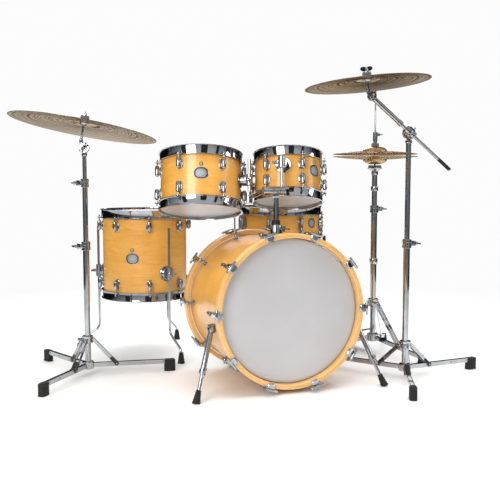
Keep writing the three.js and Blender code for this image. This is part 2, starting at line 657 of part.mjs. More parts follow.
// ---------------------------------------------------------------- bass drum pedal
function buildPedal() {
  const { axleY, axleZ, halfWidth, heelY, hoopY } = PEDAL;
  const plateFront = axleY - 16;
  const plateBack = heelY + 14;
  const plateLength = plateBack - plateFront;
  const plate = new THREE.BoxGeometry(96, plateLength, 6).translate(0, (plateBack + plateFront) / 2, 3);
  const heel = new THREE.BoxGeometry(80, 60, 16).translate(0, heelY - 16, 12);
  const jawBack = plateFront + 4;
  const jaw = new THREE.BoxGeometry(44, jawBack - hoopY, 30).translate(0, (jawBack + hoopY) / 2, 16);
  const shapes = [plate, heel, jaw];
  for (const side of [-1, 1]) {
    const upright = new THREE.BoxGeometry(12, 20, axleZ + 12);
    shapes.push(upright.translate(side * (halfWidth + 12), axleY, (axleZ + 12) / 2));
  }
  const axleHole = bar(vec(-80, axleY, axleZ), vec(80, axleY, axleZ), 7);
  piece(kit, "pedal_frame", cut(join(...shapes), axleHole), CHROME);

  const board = strap(vec(0, heelY - 50, 24), vec(0, axleY + 14, 92), 74, 7);
  piece(kit, "pedal_footboard", board, CHROME);

  const axle = vec(0, axleY, axleZ);
  const shaft = vec(0, Math.sin(radians(BEATER.back)), Math.cos(radians(BEATER.back)));
  const head = axle.clone().addScaledVector(shaft, BEATER.reach);
  const face = vec(0, -shaft.z, shaft.y).multiplyScalar(30);
  const beater = join(
    bar(vec(-62, axleY, axleZ), vec(62, axleY, axleZ), 6),
    bar(vec(-12, axleY, axleZ), vec(12, axleY, axleZ), 16),
    bar(axle, head, 4.5),
    bar(head.clone().add(face), head.clone().sub(face), 24),
  );
  piece(kit, "pedal_beater", beater, CHROME);
}

buildPedal();

// ---------------------------------------------------------------- origin
// The kit stands on z = 0 with the middle of its outline at the origin.
kit.updateMatrixWorld(true);
const outline = new THREE.Box3().setFromObject(kit, true);
const middle = outline.getCenter(new THREE.Vector3());
kit.position.set(-middle.x, -middle.y, -outline.min.z);

const group = new THREE.Group();
group.add(kit);

export default group;
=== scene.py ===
import json
import math

import bmesh
import bpy
from mathutils import Matrix, Vector

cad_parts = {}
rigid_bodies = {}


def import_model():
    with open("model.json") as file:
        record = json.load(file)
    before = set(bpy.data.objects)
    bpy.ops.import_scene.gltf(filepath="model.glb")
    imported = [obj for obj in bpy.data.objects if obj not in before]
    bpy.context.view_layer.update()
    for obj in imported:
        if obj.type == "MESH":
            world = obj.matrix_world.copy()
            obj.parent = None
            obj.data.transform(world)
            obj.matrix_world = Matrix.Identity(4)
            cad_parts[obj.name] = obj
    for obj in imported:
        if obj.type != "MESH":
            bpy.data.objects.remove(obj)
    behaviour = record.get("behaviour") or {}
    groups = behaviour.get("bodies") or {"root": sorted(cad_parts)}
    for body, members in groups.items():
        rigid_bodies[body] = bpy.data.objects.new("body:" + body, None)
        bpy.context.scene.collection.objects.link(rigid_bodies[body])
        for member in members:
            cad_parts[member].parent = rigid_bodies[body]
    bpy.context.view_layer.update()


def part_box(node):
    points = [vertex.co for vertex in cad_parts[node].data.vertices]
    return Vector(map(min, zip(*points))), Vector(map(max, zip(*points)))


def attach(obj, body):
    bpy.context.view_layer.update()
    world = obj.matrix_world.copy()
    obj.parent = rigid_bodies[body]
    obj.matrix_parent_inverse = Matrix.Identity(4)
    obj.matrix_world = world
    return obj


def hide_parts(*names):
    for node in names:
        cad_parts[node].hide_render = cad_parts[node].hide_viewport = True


for start_object in list(bpy.data.objects):
    bpy.data.objects.remove(start_object)
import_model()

camera_data = bpy.data.cameras.new("camera")
camera_data.lens = 57.5
camera_data.sensor_width = 36.0
camera_data.clip_end = 100.0
camera = bpy.data.objects.new("camera", camera_data)
bpy.context.scene.collection.objects.link(camera)
camera.location = (-0.9925, -2.9801, 0.7582)
LOOK_TURN = -18.947  # degrees from +Y to where the camera looks
LOOK_DOWN = 5.202
camera.rotation_euler = (math.radians(90 - LOOK_DOWN), 0, math.radians(LOOK_TURN))
bpy.context.scene.camera = camera

# ---------------------------------------------------------------- bass drum shell
# A 20 x 16 inch shell of maple plies bent round and glued, with 45 degree bearing edges,
# stained honey and finished in satin lacquer that shows the grain running round the drum.
BASS_RADIUS, BASS_DEPTH, BASS_WALL = 254.0, 406.0, 8.0
BASS_LUGS = 10
HOOP_OVERALL, FRONT_LIFT = 466.0, 14.0
BASS_HEIGHT = 283.0  # of the middle of the drum above the floor

shell_low, shell_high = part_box("bass_shell")
floor_point = Vector(
    ((shell_low.x + shell_high.x) / 2, (shell_low.y + shell_high.y) / 2 - HOOP_OVERALL / 2000, 0)
)
# millimetres from the floor below the front hoop
KIT = Matrix.Translation(floor_point) @ Matrix.Scale(0.001, 4)
UP = Vector((0, 0, 1))
LOCAL = Matrix.Identity(4)  # the frame of a part that is repeated round a drum


def frame_at(parent, place, z_axis, y_hint):
    """A frame at a place in its parent, with Z along one direction and Y as near as can be to another."""
    z = Vector(z_axis).normalized()
    x = Vector(y_hint).cross(z).normalized()
    turn = Matrix((x, z.cross(x), z)).transposed().to_4x4()
    return parent @ Matrix.Translation(Vector(place)) @ turn


def polar(radius, degrees, height=0.0):
    """A point at a radius and an angle round Z."""
    a = math.radians(degrees)
    return Vector((radius * math.cos(a), radius * math.sin(a), height))


def linear(colour):
    """An sRGB hex colour as linear RGBA."""
    parts = [int(colour[k : k + 2], 16) / 255 for k in (1, 3, 5)]
    return [c / 12.92 if c <= 0.04045 else ((c + 0.055) / 1.055) ** 2.4 for c in parts] + [1.0]


def add(tree, kind, inputs=None, **settings):
    """Adds a node with its settings, values and links."""
    node = tree.nodes.new(kind)
    for name, value in settings.items():
        setattr(node, name, value)
    for socket, value in (inputs or {}).items():
        if isinstance(value, bpy.types.NodeSocket):
            tree.links.new(value, node.inputs[socket])
        else:
            node.inputs[socket].default_value = value
    return node


def finish(name, **sockets):
    """A new material, with values set on its shader's own sockets."""
    material = bpy.data.materials.new(name)
    material.use_nodes = True
    shader = material.node_tree.nodes["Principled BSDF"]
    for socket, value in sockets.items():
        shader.inputs[socket.replace("_", " ")].default_value = value
    return material, material.node_tree, shader


def ramp(tree, factor, *stops):
    """A colour ramp from pairs of place and hex colour."""
    node = add(tree, "ShaderNodeValToRGB", {"Fac": factor})
    elements = node.color_ramp.elements
    while len(elements) < len(stops):
        elements.new(0.5)
    for element, (place, colour) in zip(elements, stops):
        element.position = place
        element.color = linear(colour)
    return node.outputs["Color"]


def lacquered_maple(name, pale, middle, dark, edge_dark):
    """Rotary-cut maple veneer: long streaks along the grain about 3 mm apart, a broad soft mottle
    some 50 mm across and fine pores, under a satin lacquer with a shallow gloss."""
    material, tree, shader = finish(name, Roughness=0.34, Coat_Weight=0.55, Coat_Roughness=0.16, IOR=1.5)
    place = add(tree, "ShaderNodeUVMap", uv_map="UVMap").outputs["UV"]
    streak_place = add(tree, "ShaderNodeMapping", {"Vector": place, "Scale": (7, 300, 1)}).outputs[0]
    streak = add(
        tree, "ShaderNodeTexNoise",
        {"Vector": streak_place, "Scale": 1.0, "Detail": 5.0, "Distortion": 0.6},
    )
    mottle_place = add(tree, "ShaderNodeMapping", {"Vector": place, "Scale": (9, 22, 1)}).outputs[0]
    mottle = add(
        tree, "ShaderNodeTexNoise",
        {"Vector": mottle_place, "Scale": 1.0, "Detail": 3.0, "Distortion": 1.4},
    )
    pore_place = add(tree, "ShaderNodeMapping", {"Vector": place, "Scale": (90, 1400, 1)}).outputs[0]
    pore = add(tree, "ShaderNodeTexNoise", {"Vector": pore_place, "Scale": 1.0, "Detail": 2.0})
    grain = add(tree, "ShaderNodeMix", {0: 0.45, 2: streak.outputs["Fac"], 3: mottle.outputs["Fac"]})
    wood = ramp(tree, grain.outputs[0], (0.3, dark), (0.48, middle), (0.68, pale))
    pores = ramp(tree, pore.outputs["Fac"], (0.3, edge_dark), (0.42, "#ffffff"))
    colour = add(
        tree, "ShaderNodeMix", {0: 0.4, 6: wood, 7: pores}, data_type="RGBA", blend_type="MULTIPLY",
    )
    tree.links.new(colour.outputs[2], shader.inputs["Base Color"])
    rough = add(
        tree, "ShaderNodeMapRange", {"Value": mottle.outputs["Fac"], "To Min": 0.27, "To Max": 0.42},
    )
    tree.links.new(rough.outputs[0], shader.inputs["Roughness"])
    bump = add(
        tree, "ShaderNodeBump", {"Height": streak.outputs["Fac"], "Strength": 0.12, "Distance": 0.0004},
    )
    tree.links.new(bump.outputs[0], shader.inputs["Normal"])
    return material


def revolve(bm, place, outline, sides=64):
    """Adds a turned shape from an outline of (radius, height), open at the axis or closed on itself."""
    uv = bm.loops.layers.uv.get("UVMap") or bm.loops.layers.uv.new("UVMap")
    along, rings = [0.0], []
    for (r0, h0), (r1, h1) in zip(outline, outline[1:] + outline[:1]):
        along.append(along[-1] + math.dist((r0, h0), (r1, h1)) / 1000)
    for radius, height in outline:
        if radius < 1e-6:
            rings.append([bm.verts.new(place @ Vector((0, 0, height)))] * sides)
        else:
            rings.append(
                [bm.verts.new(place @ polar(radius, 360 * k / sides, height)) for k in range(sides)]
            )
    reach = max(radius for radius, _ in outline) / 1000
    closed = outline[0][0] > 1e-6
    for i in range(len(outline) if closed else len(outline) - 1):
        lower, upper = rings[i], rings[(i + 1) % len(rings)]
        for k in range(sides):
            n = (k + 1) % sides
            corners = [
                (lower[k], k, along[i]), (lower[n], k + 1, along[i]), (upper[n], k + 1, along[i + 1]),
                (upper[k], k, along[i + 1]),
            ]
            once = [c for j, c in enumerate(corners) if c[0] not in [d[0] for d in corners[:j]]]
            if len(once) < 3:
                continue
            face = bm.faces.new([c[0] for c in once])
            for loop, (_, turn, rise) in zip(face.loops, once):
                loop[uv].uv = (2 * math.pi * reach * turn / sides, rise)


def piece(name, bm, material, body, slot, *nodes, sharp=32):
    """Ends a mesh as a piece: faces outwards, soft shading except over sharp edges, on its body."""
    bmesh.ops.recalc_face_normals(bm, faces=bm.faces)
    limit = math.radians(sharp)
    for face in bm.faces:
        face.smooth = True
    for edge in bm.edges:
        edge.smooth = len(edge.link_faces) == 2 and edge.calc_face_angle(0) < limit
    mesh = bpy.data.meshes.new(name)
    bm.to_mesh(mesh)
    bm.free()
    mesh.materials.append(material)
    made = bpy.data.objects.new(name, mesh)
    bpy.context.scene.collection.objects.link(made)
    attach(made, body)
    if nodes:
        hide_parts(*nodes)
    return made


def fitting(name, bm, material, body, *nodes):
    """Ends a mesh as a piece of the hardware."""
    piece(name, bm, material, body, "hardware_chrome", *nodes)


def shell(bm, place, radius, wall, depth):
    """Adds a drum shell with its bearing edges."""
    half = depth / 2
    revolve(bm, place, [
        (radius, -half + 2), (radius, half - 2), (radius - 1.5, half - 0.3), (radius - 2.5, half),
        (radius - wall, half - wall + 2.5), (radius - wall, wall - 2.5 - half), (radius - 2.5, -half),
        (radius - 1.5, 0.3 - half),
    ], 128)


honey_maple = lacquered_maple("satin_lacquered_maple", "#f4b65a", "#e8a848", "#d99a3d", "#a87328")
bass_tilt = math.asin(FRONT_LIFT / HOOP_OVERALL)
BASS = frame_at(KIT, (0, HOOP_OVERALL / 2, BASS_HEIGHT), (0, -math.cos(bass_tilt), math.sin(bass_tilt)), UP)
bass_wood = bmesh.new()
shell(bass_wood, BASS, BASS_RADIUS, BASS_WALL, BASS_DEPTH)
piece("bass_shell_plies", bass_wood, honey_maple, "kit", "maple_shell", "bass_shell")

# ---------------------------------------------------------------- bass drum hoops
# Maple hoops of nine glued plies, paler than the shell, with rounded edges.
# The plies show as thin darker lines on the flat front and back of each hoop.
HOOP_INNER, HOOP_OUTER, HOOP_WIDTH = 258.0, 275.0, 40.0
PLY = 0.0019  # metres

pale_maple = lacquered_maple("natural_maple_hoop", "#f2c789", "#e9b870", "#d59f55", "#a5753f")
hoop_tree = pale_maple.node_tree
hoop_shader = hoop_tree.nodes["Principled BSDF"]
hoop_uv = add(hoop_tree, "ShaderNodeUVMap", uv_map="UVMap").outputs["UV"]
hoop_side = add(hoop_tree, "ShaderNodeSeparateXYZ", {"Vector": hoop_uv}).outputs["Y"]
ply_turn = add(hoop_tree, "ShaderNodeMath", {0: hoop_side, 1: 1 / PLY}, operation="MULTIPLY").outputs[0]
ply_share = add(hoop_tree, "ShaderNodeMath", {0: ply_turn}, operation="FRACT").outputs[0]
ply_line = ramp(hoop_tree, ply_share, (0.0, "#8f6130"), (0.16, "#ffffff"), (1.0, "#f4ead8"))
hoop_flat = add(hoop_tree, "ShaderNodeMath", {0: hoop_side, 1: 0.5}, operation="GREATER_THAN").outputs[0]
wood_link = hoop_shader.inputs["Base Color"].links[0].from_socket
plies = add(
    hoop_tree, "ShaderNodeMix", {0: hoop_flat, 6: wood_link, 7: ply_line}, data_type="RGBA",
    blend_type="MULTIPLY",
)
hoop_tree.links.new(plies.outputs[2], hoop_shader.inputs["Base Color"])

for end, node in ((1, "bass_front_hoop"), (-1, "bass_rear_hoop")):
    hoop_mesh = bmesh.new()
    high = HOOP_OVERALL / 2
    low = high - HOOP_WIDTH
    outline = [
        (HOOP_INNER + 2, low), (HOOP_OUTER - 3, low), (HOOP_OUTER - 0.9, low + 0.9), (HOOP_OUTER, low + 3),
        (HOOP_OUTER, high - 3), (HOOP_OUTER - 0.9, high - 0.9), (HOOP_OUTER - 3, high),
        (HOOP_INNER + 2, high), (HOOP_INNER + 0.5, high - 0.5), (HOOP_INNER, high - 2),
        (HOOP_INNER, low + 2), (HOOP_INNER + 0.5, low + 0.5),
    ]
    revolve(hoop_mesh, BASS, [(r, end * z) for r, z in outline], 144)
    flat_uv = hoop_mesh.loops.layers.uv["UVMap"]
    for hoop_face in hoop_mesh.faces:
        hoop_face.normal_update()
        heights = [(BASS.inverted() @ v.co).z for v in hoop_face.verts]
        if max(heights) - min(heights) < 0.1:  # the front and back faces carry the ply lines
            for loop in hoop_face.loops:
                across = (BASS.inverted() @ loop.vert.co).to_2d().length
                loop[flat_uv].uv.y = 1.0 + across / 1000
    piece(node + "_plies", hoop_mesh, pale_maple, "kit", "maple_hoop", node)

# ---------------------------------------------------------------- bass drum heads
# Polyester film drawn over the bearing edge and glued in a metal hoop. The front one is smooth
# and the batter is sprayed with a fine coating, with a thicker ring near its edge.
def drum_film(name, colour, shade, rough, grit):
    """Film with a faint cloudy tone, and a sprayed coat when its grit is more than nothing."""
    material, tree, shader = finish(
        name, Roughness=rough, IOR=1.57, Subsurface_Weight=0.06, Subsurface_Scale=0.01,
    )
    place = add(tree, "ShaderNodeTexCoord").outputs["Object"]
    cloud = add(tree, "ShaderNodeTexNoise", {"Vector": place, "Scale": 7.0, "Detail": 3.0})
    tree.links.new(
        ramp(tree, cloud.outputs["Fac"], (0.35, shade), (0.65, colour)), shader.inputs["Base Color"],
    )
    spray = add(tree, "ShaderNodeTexNoise", {"Vector": place, "Scale": 900.0, "Detail": 2.0})
    bump = add(
        tree, "ShaderNodeBump", {"Height": spray.outputs["Fac"], "Strength": grit, "Distance": 0.0003},
    )
    tree.links.new(bump.outputs[0], shader.inputs["Normal"])
    return material


def head(bm, place, radius, half, end, collar=8.0):
    """Adds a head's film with its collar down the shell, facing one end of a drum."""
    outline = [
        (0, half + 1.5), (radius - 8, half + 1.5), (radius - 1, half + 1.2), (radius + 0.9, half),
        (radius + 1.8, half - 2), (radius + 1.9, half - collar),
        (radius + 1.1, half - collar), (radius + 0.9, half - 1.8), (radius, half + 0.4),
        (radius - 8, half + 0.6), (0, half + 0.6),
    ]
    revolve(bm, place, [(r, end * z) for r, z in outline], 96)


smooth_film = drum_film("smooth_white_film", "#bab7b8", "#b5b2b3", 0.32, 0.02)
coated_film = drum_film("coated_white_film", "#d9d7d2", "#d0cec9", 0.55, 0.35)
for end, node, film in ((1, "bass_front_head", smooth_film), (-1, "bass_batter_head", coated_film)):
    film_mesh = bmesh.new()
    head(film_mesh, BASS, BASS_RADIUS, BASS_DEPTH / 2, end)
    piece(node + "_film", film_mesh, film, "kit", "head_film", node)

# ---------------------------------------------------------------- bass drum lugs, claws and tension rods
# Ten cast bullet lugs at each end, chrome plated, each on a teardrop plate. A rod with a T handle
# runs from each lug through a claw that hooks over the wooden hoop.
ROD_OUT = 281.5  # millimetres from the drum's axis to the rods


def plated(name, colour, bright, rough, grain, spread):
    """Chrome plating: a mirror with the faint unevenness of the metal below it."""
    material, tree, shader = finish(name, Metallic=1.0, Roughness=rough)
    place = add(tree, "ShaderNodeTexCoord").outputs["Object"]
    smear = add(tree, "ShaderNodeTexNoise", {"Vector": place, "Scale": grain, "Detail": 4.0})
    tone = ramp(tree, smear.outputs["Fac"], (0.3, colour), (0.7, bright))
    tree.links.new(tone, shader.inputs["Base Color"])
    rough_range = add(
        tree, "ShaderNodeMapRange",
        {"Value": smear.outputs["Fac"], "To Min": rough * 0.6, "To Max": rough * 1.5},
    )
    tree.links.new(rough_range.outputs[0], shader.inputs["Roughness"])
    bump = add(
        tree, "ShaderNodeBump", {"Height": smear.outputs["Fac"], "Strength": spread, "Distance": 0.0004},
    )
    tree.links.new(bump.outputs[0], shader.inputs["Normal"])
    return material


def bridge(bm, rings):
    """Adds the faces between rings that have the same number of points, and a cap on either end."""
    for lower, upper in zip(rings, rings[1:]):
        for k in range(len(lower)):
            n = (k + 1) % len(lower)
            bm.faces.new((lower[k], lower[n], upper[n], upper[k]))
    bm.faces.new(rings[0])
    bm.faces.new(rings[-1])


def loft(bm, place, sections, points=28, power=2.6):
    """Adds a solid through rounded sections of (height, half width in X, half width in Y, middle X)."""
    rings = []
    for height, half_x, half_y, middle in sections:
        ring = []
        for k in range(points):
            a = 2 * math.pi * k / points
            c, s = math.cos(a), math.sin(a)
            x = middle + half_x * math.copysign(abs(c) ** (2 / power), c)
            ring.append(
                bm.verts.new(place @ Vector((x, half_y * math.copysign(abs(s) ** (2 / power), s), height)))
            )
        rings.append(ring)
    bridge(bm, rings)


def sweep(bm, place, path, radius, sides=20):
    """Adds a round bar along a path. The radius is one number, or one for each point."""
    path = [Vector(p) for p in path]
    radii = radius if isinstance(radius, (list, tuple)) else [radius] * len(path)
    along = (path[1] - path[0]).normalized()
    side = along.orthogonal().normalized()
    rings = []
    for k, point in enumerate(path):
        behind = (point - path[k - 1]).normalized() if k else (path[1] - point).normalized()
        ahead = (path[k + 1] - point).normalized() if k < len(path) - 1 else behind
        along = (ahead + behind).normalized()
        side = (side - along * side.dot(along)).normalized()
        across = along.cross(side)
        widen = 1 / max(0.5, along.dot(ahead))
        ring = []
        for j in range(sides):
            a = 2 * math.pi * j / sides
            spoke = (side * math.cos(a) + across * math.sin(a)) * radii[k] * (widen if k else 1)
            ring.append(bm.verts.new(place @ (point + spoke)))
        rings.append(ring)
    bridge(bm, rings)


def block(bm, place, low, high, soften=1.0):
    """Adds a box between two corners, with softened edges."""
    low, high = Vector(low), Vector(high)
    part = bmesh.new()
    bmesh.ops.create_cube(part, size=1.0)
    for vertex in part.verts:
        vertex.co = Vector([(low[k] + high[k]) / 2 + vertex.co[k] * (high[k] - low[k]) for k in range(3)])
    bmesh.ops.bevel(part, geom=list(part.edges), offset=soften, segments=2, affect="EDGES", profile=0.6)
    part.transform(place)
    mesh = bpy.data.meshes.new("part")
    part.to_mesh(mesh)
    part.free()
    bm.from_mesh(mesh)
    bpy.data.meshes.remove(mesh)


def ring_tree():
    """Nodes that repeat a part round a drum's axis, in one row or in two that face each other."""
    tree = bpy.data.node_groups.new("parts_round_a_drum", "GeometryNodeTree")
    tree.interface.new_socket("Geometry", in_out="OUTPUT", socket_type="NodeSocketGeometry")
    for name, kind in (
        ("Part", "Object"), ("Count", "Int"), ("First Angle", "Float"), ("Height", "Float"),
        ("Two Rows", "Bool"), ("Finish", "Material"),
    ):
        tree.interface.new_socket(name, in_out="INPUT", socket_type="NodeSocket" + kind)
    given = add(tree, "NodeGroupInput")
    part = add(
        tree, "GeometryNodeObjectInfo", {"Object": given.outputs["Part"]}, transform_space="ORIGINAL",
    )
    index = add(tree, "GeometryNodeInputIndex")
    share = add(
        tree, "ShaderNodeMath", {0: index.outputs[0], 1: given.outputs["Count"]}, operation="DIVIDE",
    )
    angle = add(
        tree, "ShaderNodeMath", {0: share.outputs[0], 1: 2 * math.pi, 2: given.outputs["First Angle"]},
        operation="MULTIPLY_ADD",
    )
    rows = []
    for side in (1.0, -1.0):
        height = add(tree, "ShaderNodeMath", {0: given.outputs["Height"], 1: side}, operation="MULTIPLY")
        start = add(tree, "ShaderNodeCombineXYZ", {"Z": height.outputs[0]})
        line = add(
            tree, "GeometryNodeMeshLine",
            {"Count": given.outputs["Count"], "Start Location": start.outputs[0], "Offset": (0, 0, 0)},
        )
        turn = add(tree, "ShaderNodeCombineXYZ", {"X": 0.0 if side > 0 else math.pi, "Z": angle.outputs[0]})
        row = add(
            tree, "GeometryNodeInstanceOnPoints",
            {"Points": line.outputs[0], "Instance": part.outputs["Geometry"], "Rotation": turn.outputs[0]},
        )
        rows.append(row.outputs[0])
    second = add(
        tree, "GeometryNodeSwitch", {"Switch": given.outputs["Two Rows"], "True": rows[1]},
        input_type="GEOMETRY",
    )
    both = add(tree, "GeometryNodeJoinGeometry", {"Geometry": rows[0]})
    tree.links.new(second.outputs[0], both.inputs[0])
    real = add(tree, "GeometryNodeRealizeInstances", {"Geometry": both.outputs[0]})
    dressed = add(
        tree, "GeometryNodeSetMaterial", {"Geometry": real.outputs[0], "Material": given.outputs["Finish"]},
    )
    add(tree, "NodeGroupOutput", {"Geometry": dressed.outputs[0]})
    return tree


RING_TREE = ring_tree()


def ring(bm, place, part, count, first, height=0.0, two_rows=True, material=None):
    """Adds copies of a part, modelled at its distance from the axis, round the frame's Z."""
    part_mesh = bpy.data.meshes.new("part")
    part.to_mesh(part_mesh)
    part.free()
    part_object = bpy.data.objects.new("part", part_mesh)
    holder = bpy.data.objects.new("holder", bpy.data.meshes.new("holder"))
    for made in (part_object, holder):
        bpy.context.scene.collection.objects.link(made)
    modifier = holder.modifiers.new("parts", "NODES")
    modifier.node_group = RING_TREE
    values = {
        "Part": part_object, "Count": count, "First Angle": math.radians(first), "Height": height,
        "Two Rows": two_rows, "Finish": material,
    }
    for item in RING_TREE.interface.items_tree:
        if item.in_out == "INPUT":
            modifier[item.identifier] = values[item.name]
    evaluated = holder.evaluated_get(bpy.context.evaluated_depsgraph_get())
    result = bpy.data.meshes.new_from_object(evaluated)
    result.transform(place)
    bm.from_mesh(result)
    for made in (holder, part_object):
        bpy.data.objects.remove(made)
    bpy.data.meshes.remove(result)


def bullet_lug(radius, rod_out, length=34.0, ends=1):
    """A lug on its teardrop plate: a domed barrel along Z at the rods' distance, on a short neck."""
    part = bmesh.new()
    flat = frame_at(LOCAL, (radius - 0.6, 0, 0), (1, 0, 0), (0, 0, 1))
    half = length / 2
    upright = flat @ Matrix.Rotation(math.pi / 2, 4, "Z")
    loft(
        part, upright,
        [(0, half, 12, 0), (1.8, half, 12, 0), (3.4, half - 1.6, 10.4, 0), (4.2, half - 4, 8, 0)], 32, 2.1,
    )
    loft(part, upright, [(2, half - 7, 5.4, 0), (rod_out - radius, half - 8, 4.6, 0)], 24, 2.2)
    barrel = Matrix.Translation((rod_out, 0, 0))
    if ends == 2:
        upper = [
            (4.4, half - 13), (6.8, half - 9), (6.4, half - 3), (5.4, half + 1), (4.4, half + 2),
            (0, half + 2),
        ]
        outline = [(r, -z) for r, z in reversed(upper)] + upper
    else:
        inner = 3 - half
        outline = [
            (0, inner), (3.4, inner + 0.6), (6.6, inner + 3.4), (8.4, inner + 9), (8.8, half - 14),
            (8.2, half - 4), (7.2, half + 0.6), (6.0, half + 1.6), (0, half + 1.6),
        ]
    revolve(part, barrel, outline, 24)
    return part


polished_chrome = plated("polished_chrome_tube", "#a3a5a8", "#b5b7ba", 0.06, 22.0, 0.004)
cast_chrome = plated("cast_chrome", "#9a9ca0", "#b0b2b6", 0.1, 120.0, 0.03)

bass_lugs = bmesh.new()
ring(
    bass_lugs, BASS, bullet_lug(BASS_RADIUS, ROD_OUT), BASS_LUGS, 0, BASS_DEPTH / 2 - 50, True, cast_chrome,
)
fitting("bass_lugs", bass_lugs, cast_chrome, "kit")

claw = bmesh.new()
front = HOOP_OVERALL / 2
loft(
    claw, LOCAL,
    [(front + 0.3, 12, 14, 272.4), (front + 3.2, 12.5, 14.5, 272.4), (front + 5.4, 10, 11.5, 272.4)], 24,
    3.2,
)
loft(
    claw, LOCAL,
    [
        (front - 42, 4, 8, 280.4), (front - 38, 5.0, 10, 280.2), (front - 20, 5.2, 12, 280.2),
        (front + 2, 5.4, 13, 280.2),
    ],
    24, 3.0,
)
block(claw, LOCAL, (257.5, -11, front - 0.2), (264, 11, front + 3.0), 0.8)
sweep(claw, LOCAL, [(ROD_OUT, 0, BASS_DEPTH / 2 - 38), (ROD_OUT, 0, front + 13)], 3.0, 12)
revolve(
    claw, Matrix.Translation((ROD_OUT, 0, front + 3)),
    [(0, 0), (6, 0), (6, 1.8), (4.8, 2.6), (4.8, 8), (3.8, 9.5), (0, 9.5)], 20,
)
sweep(
    claw, LOCAL,
    [
        (ROD_OUT, -25, front + 12), (ROD_OUT, -23, front + 12), (ROD_OUT, 0, front + 12),
        (ROD_OUT, 23, front + 12), (ROD_OUT, 25, front + 12),
    ],
    [3.0, 4.2, 4.8, 4.2, 3.0], 14,
)
bass_claws = bmesh.new()
ring(bass_claws, BASS, claw, BASS_LUGS, 0, 0.0, True, polished_chrome)
fitting("bass_claws_and_rods", bass_claws, polished_chrome, "kit")

# ---------------------------------------------------------------- rack toms, floor tom and snare drum
# Maple shells with steel hoops that are flanged three times, cast bullet lugs and steel tension
# rods. The snare's lugs are long and hold a rod at each end.
TOM_LEAN = 13.5
AWAY = polar(1, 90 + LOOK_TURN)
ASIDE = AWAY.cross(UP)
TOM_AXIS = UP * math.cos(math.radians(TOM_LEAN)) + AWAY * math.sin(math.radians(TOM_LEAN))
HOOP_OVER, HOOP_HEIGHT = 12.0, 37.0  # of a steel hoop: past the shell's edge, and in all
LUG_INSET = 59.0  # from the shell's edge to the middle of a lug
SNARE_SPOT, SNARE_Z, SNARE_DEPTH = (276, 839, 0), 547.0, 140.0

# name, body, frame, shell radius, depth, hoop radius, lugs, angle of the first lug
DRUMS = {
    "tom_12": ("tom_12", frame_at(KIT, (-217, 413, 734), TOM_AXIS, AWAY), 152.4, 203.0, 165.0, 6, 4.0),
    "tom_10": ("tom_10", frame_at(KIT, (113, 337, 753), TOM_AXIS, AWAY), 127.0, 172.0, 139.7, 6, -9.5),
    "floor_tom": ("kit", frame_at(KIT, (-349, 846, 434), UP, (0, 1, 0)), 177.8, 355.6, 190.5, 8, -5.9),
    "snare": (
        "snare", frame_at(KIT, (276, 839, SNARE_Z), UP, (0, 1, 0)), 177.8, SNARE_DEPTH, 190.5, 8, 7.9,
    ),
}


def flanged_hoop(bm, place, radius, outer, half, end):
    """Adds a steel hoop: an ear flange at its foot, an upright wall and a lip rolled outwards."""
    foot, inner = half + HOOP_OVER - HOOP_HEIGHT, radius + 3.2
    wall, top = inner + 2.3, foot + HOOP_HEIGHT
    outline = [
        (inner, foot), (outer - 3, foot), (outer - 2.4, foot + 0.6), (outer - 2.4, foot + 1.8),
        (outer - 3, foot + 2.3), (wall + 1.6, foot + 2.3), (wall, foot + 4),
        (wall, top - 4.4), (wall + 0.6, top - 3), (wall + 3.8, top - 2.3), (wall + 4.6, top - 1.4),
        (wall + 4.2, top - 0.4), (wall + 3, top),
        (inner + 1.6, top - 0.3), (inner + 0.3, top - 1.6), (inner, top - 4),
    ]
    revolve(bm, place, [(r, end * z) for r, z in outline], 112)


def rod_and_ear(outer, rod_out, half, lug_end):
    """A tension rod with its square key head and washer, and the hoop's ear below them."""
    foot = half + HOOP_OVER - HOOP_HEIGHT
    part = bmesh.new()
    ear = Matrix.Translation((rod_out, 0, foot + 1.2))
    revolve(part, ear, [(0, -1.2), (8.2, -1.2), (8.8, -0.6), (8.8, 0.7), (8.2, 1.3), (0, 1.3)], 24)
    block(part, LOCAL, (outer - 12, -9.5, foot), (rod_out + 1, 9.5, foot + 2.4), 0.7)
    revolve(part, ear, [(0, 1.2), (6.2, 1.2), (6.2, 2.4), (5.2, 2.8), (4.4, 5.4), (0, 5.4)], 24)
    block(part, LOCAL, (rod_out - 2.9, -2.9, foot + 6), (rod_out + 2.9, 2.9, foot + 14), 0.5)
    sweep(part, LOCAL, [(rod_out, 0, lug_end), (rod_out, 0, foot + 7)], 2.6, 12)
    return part


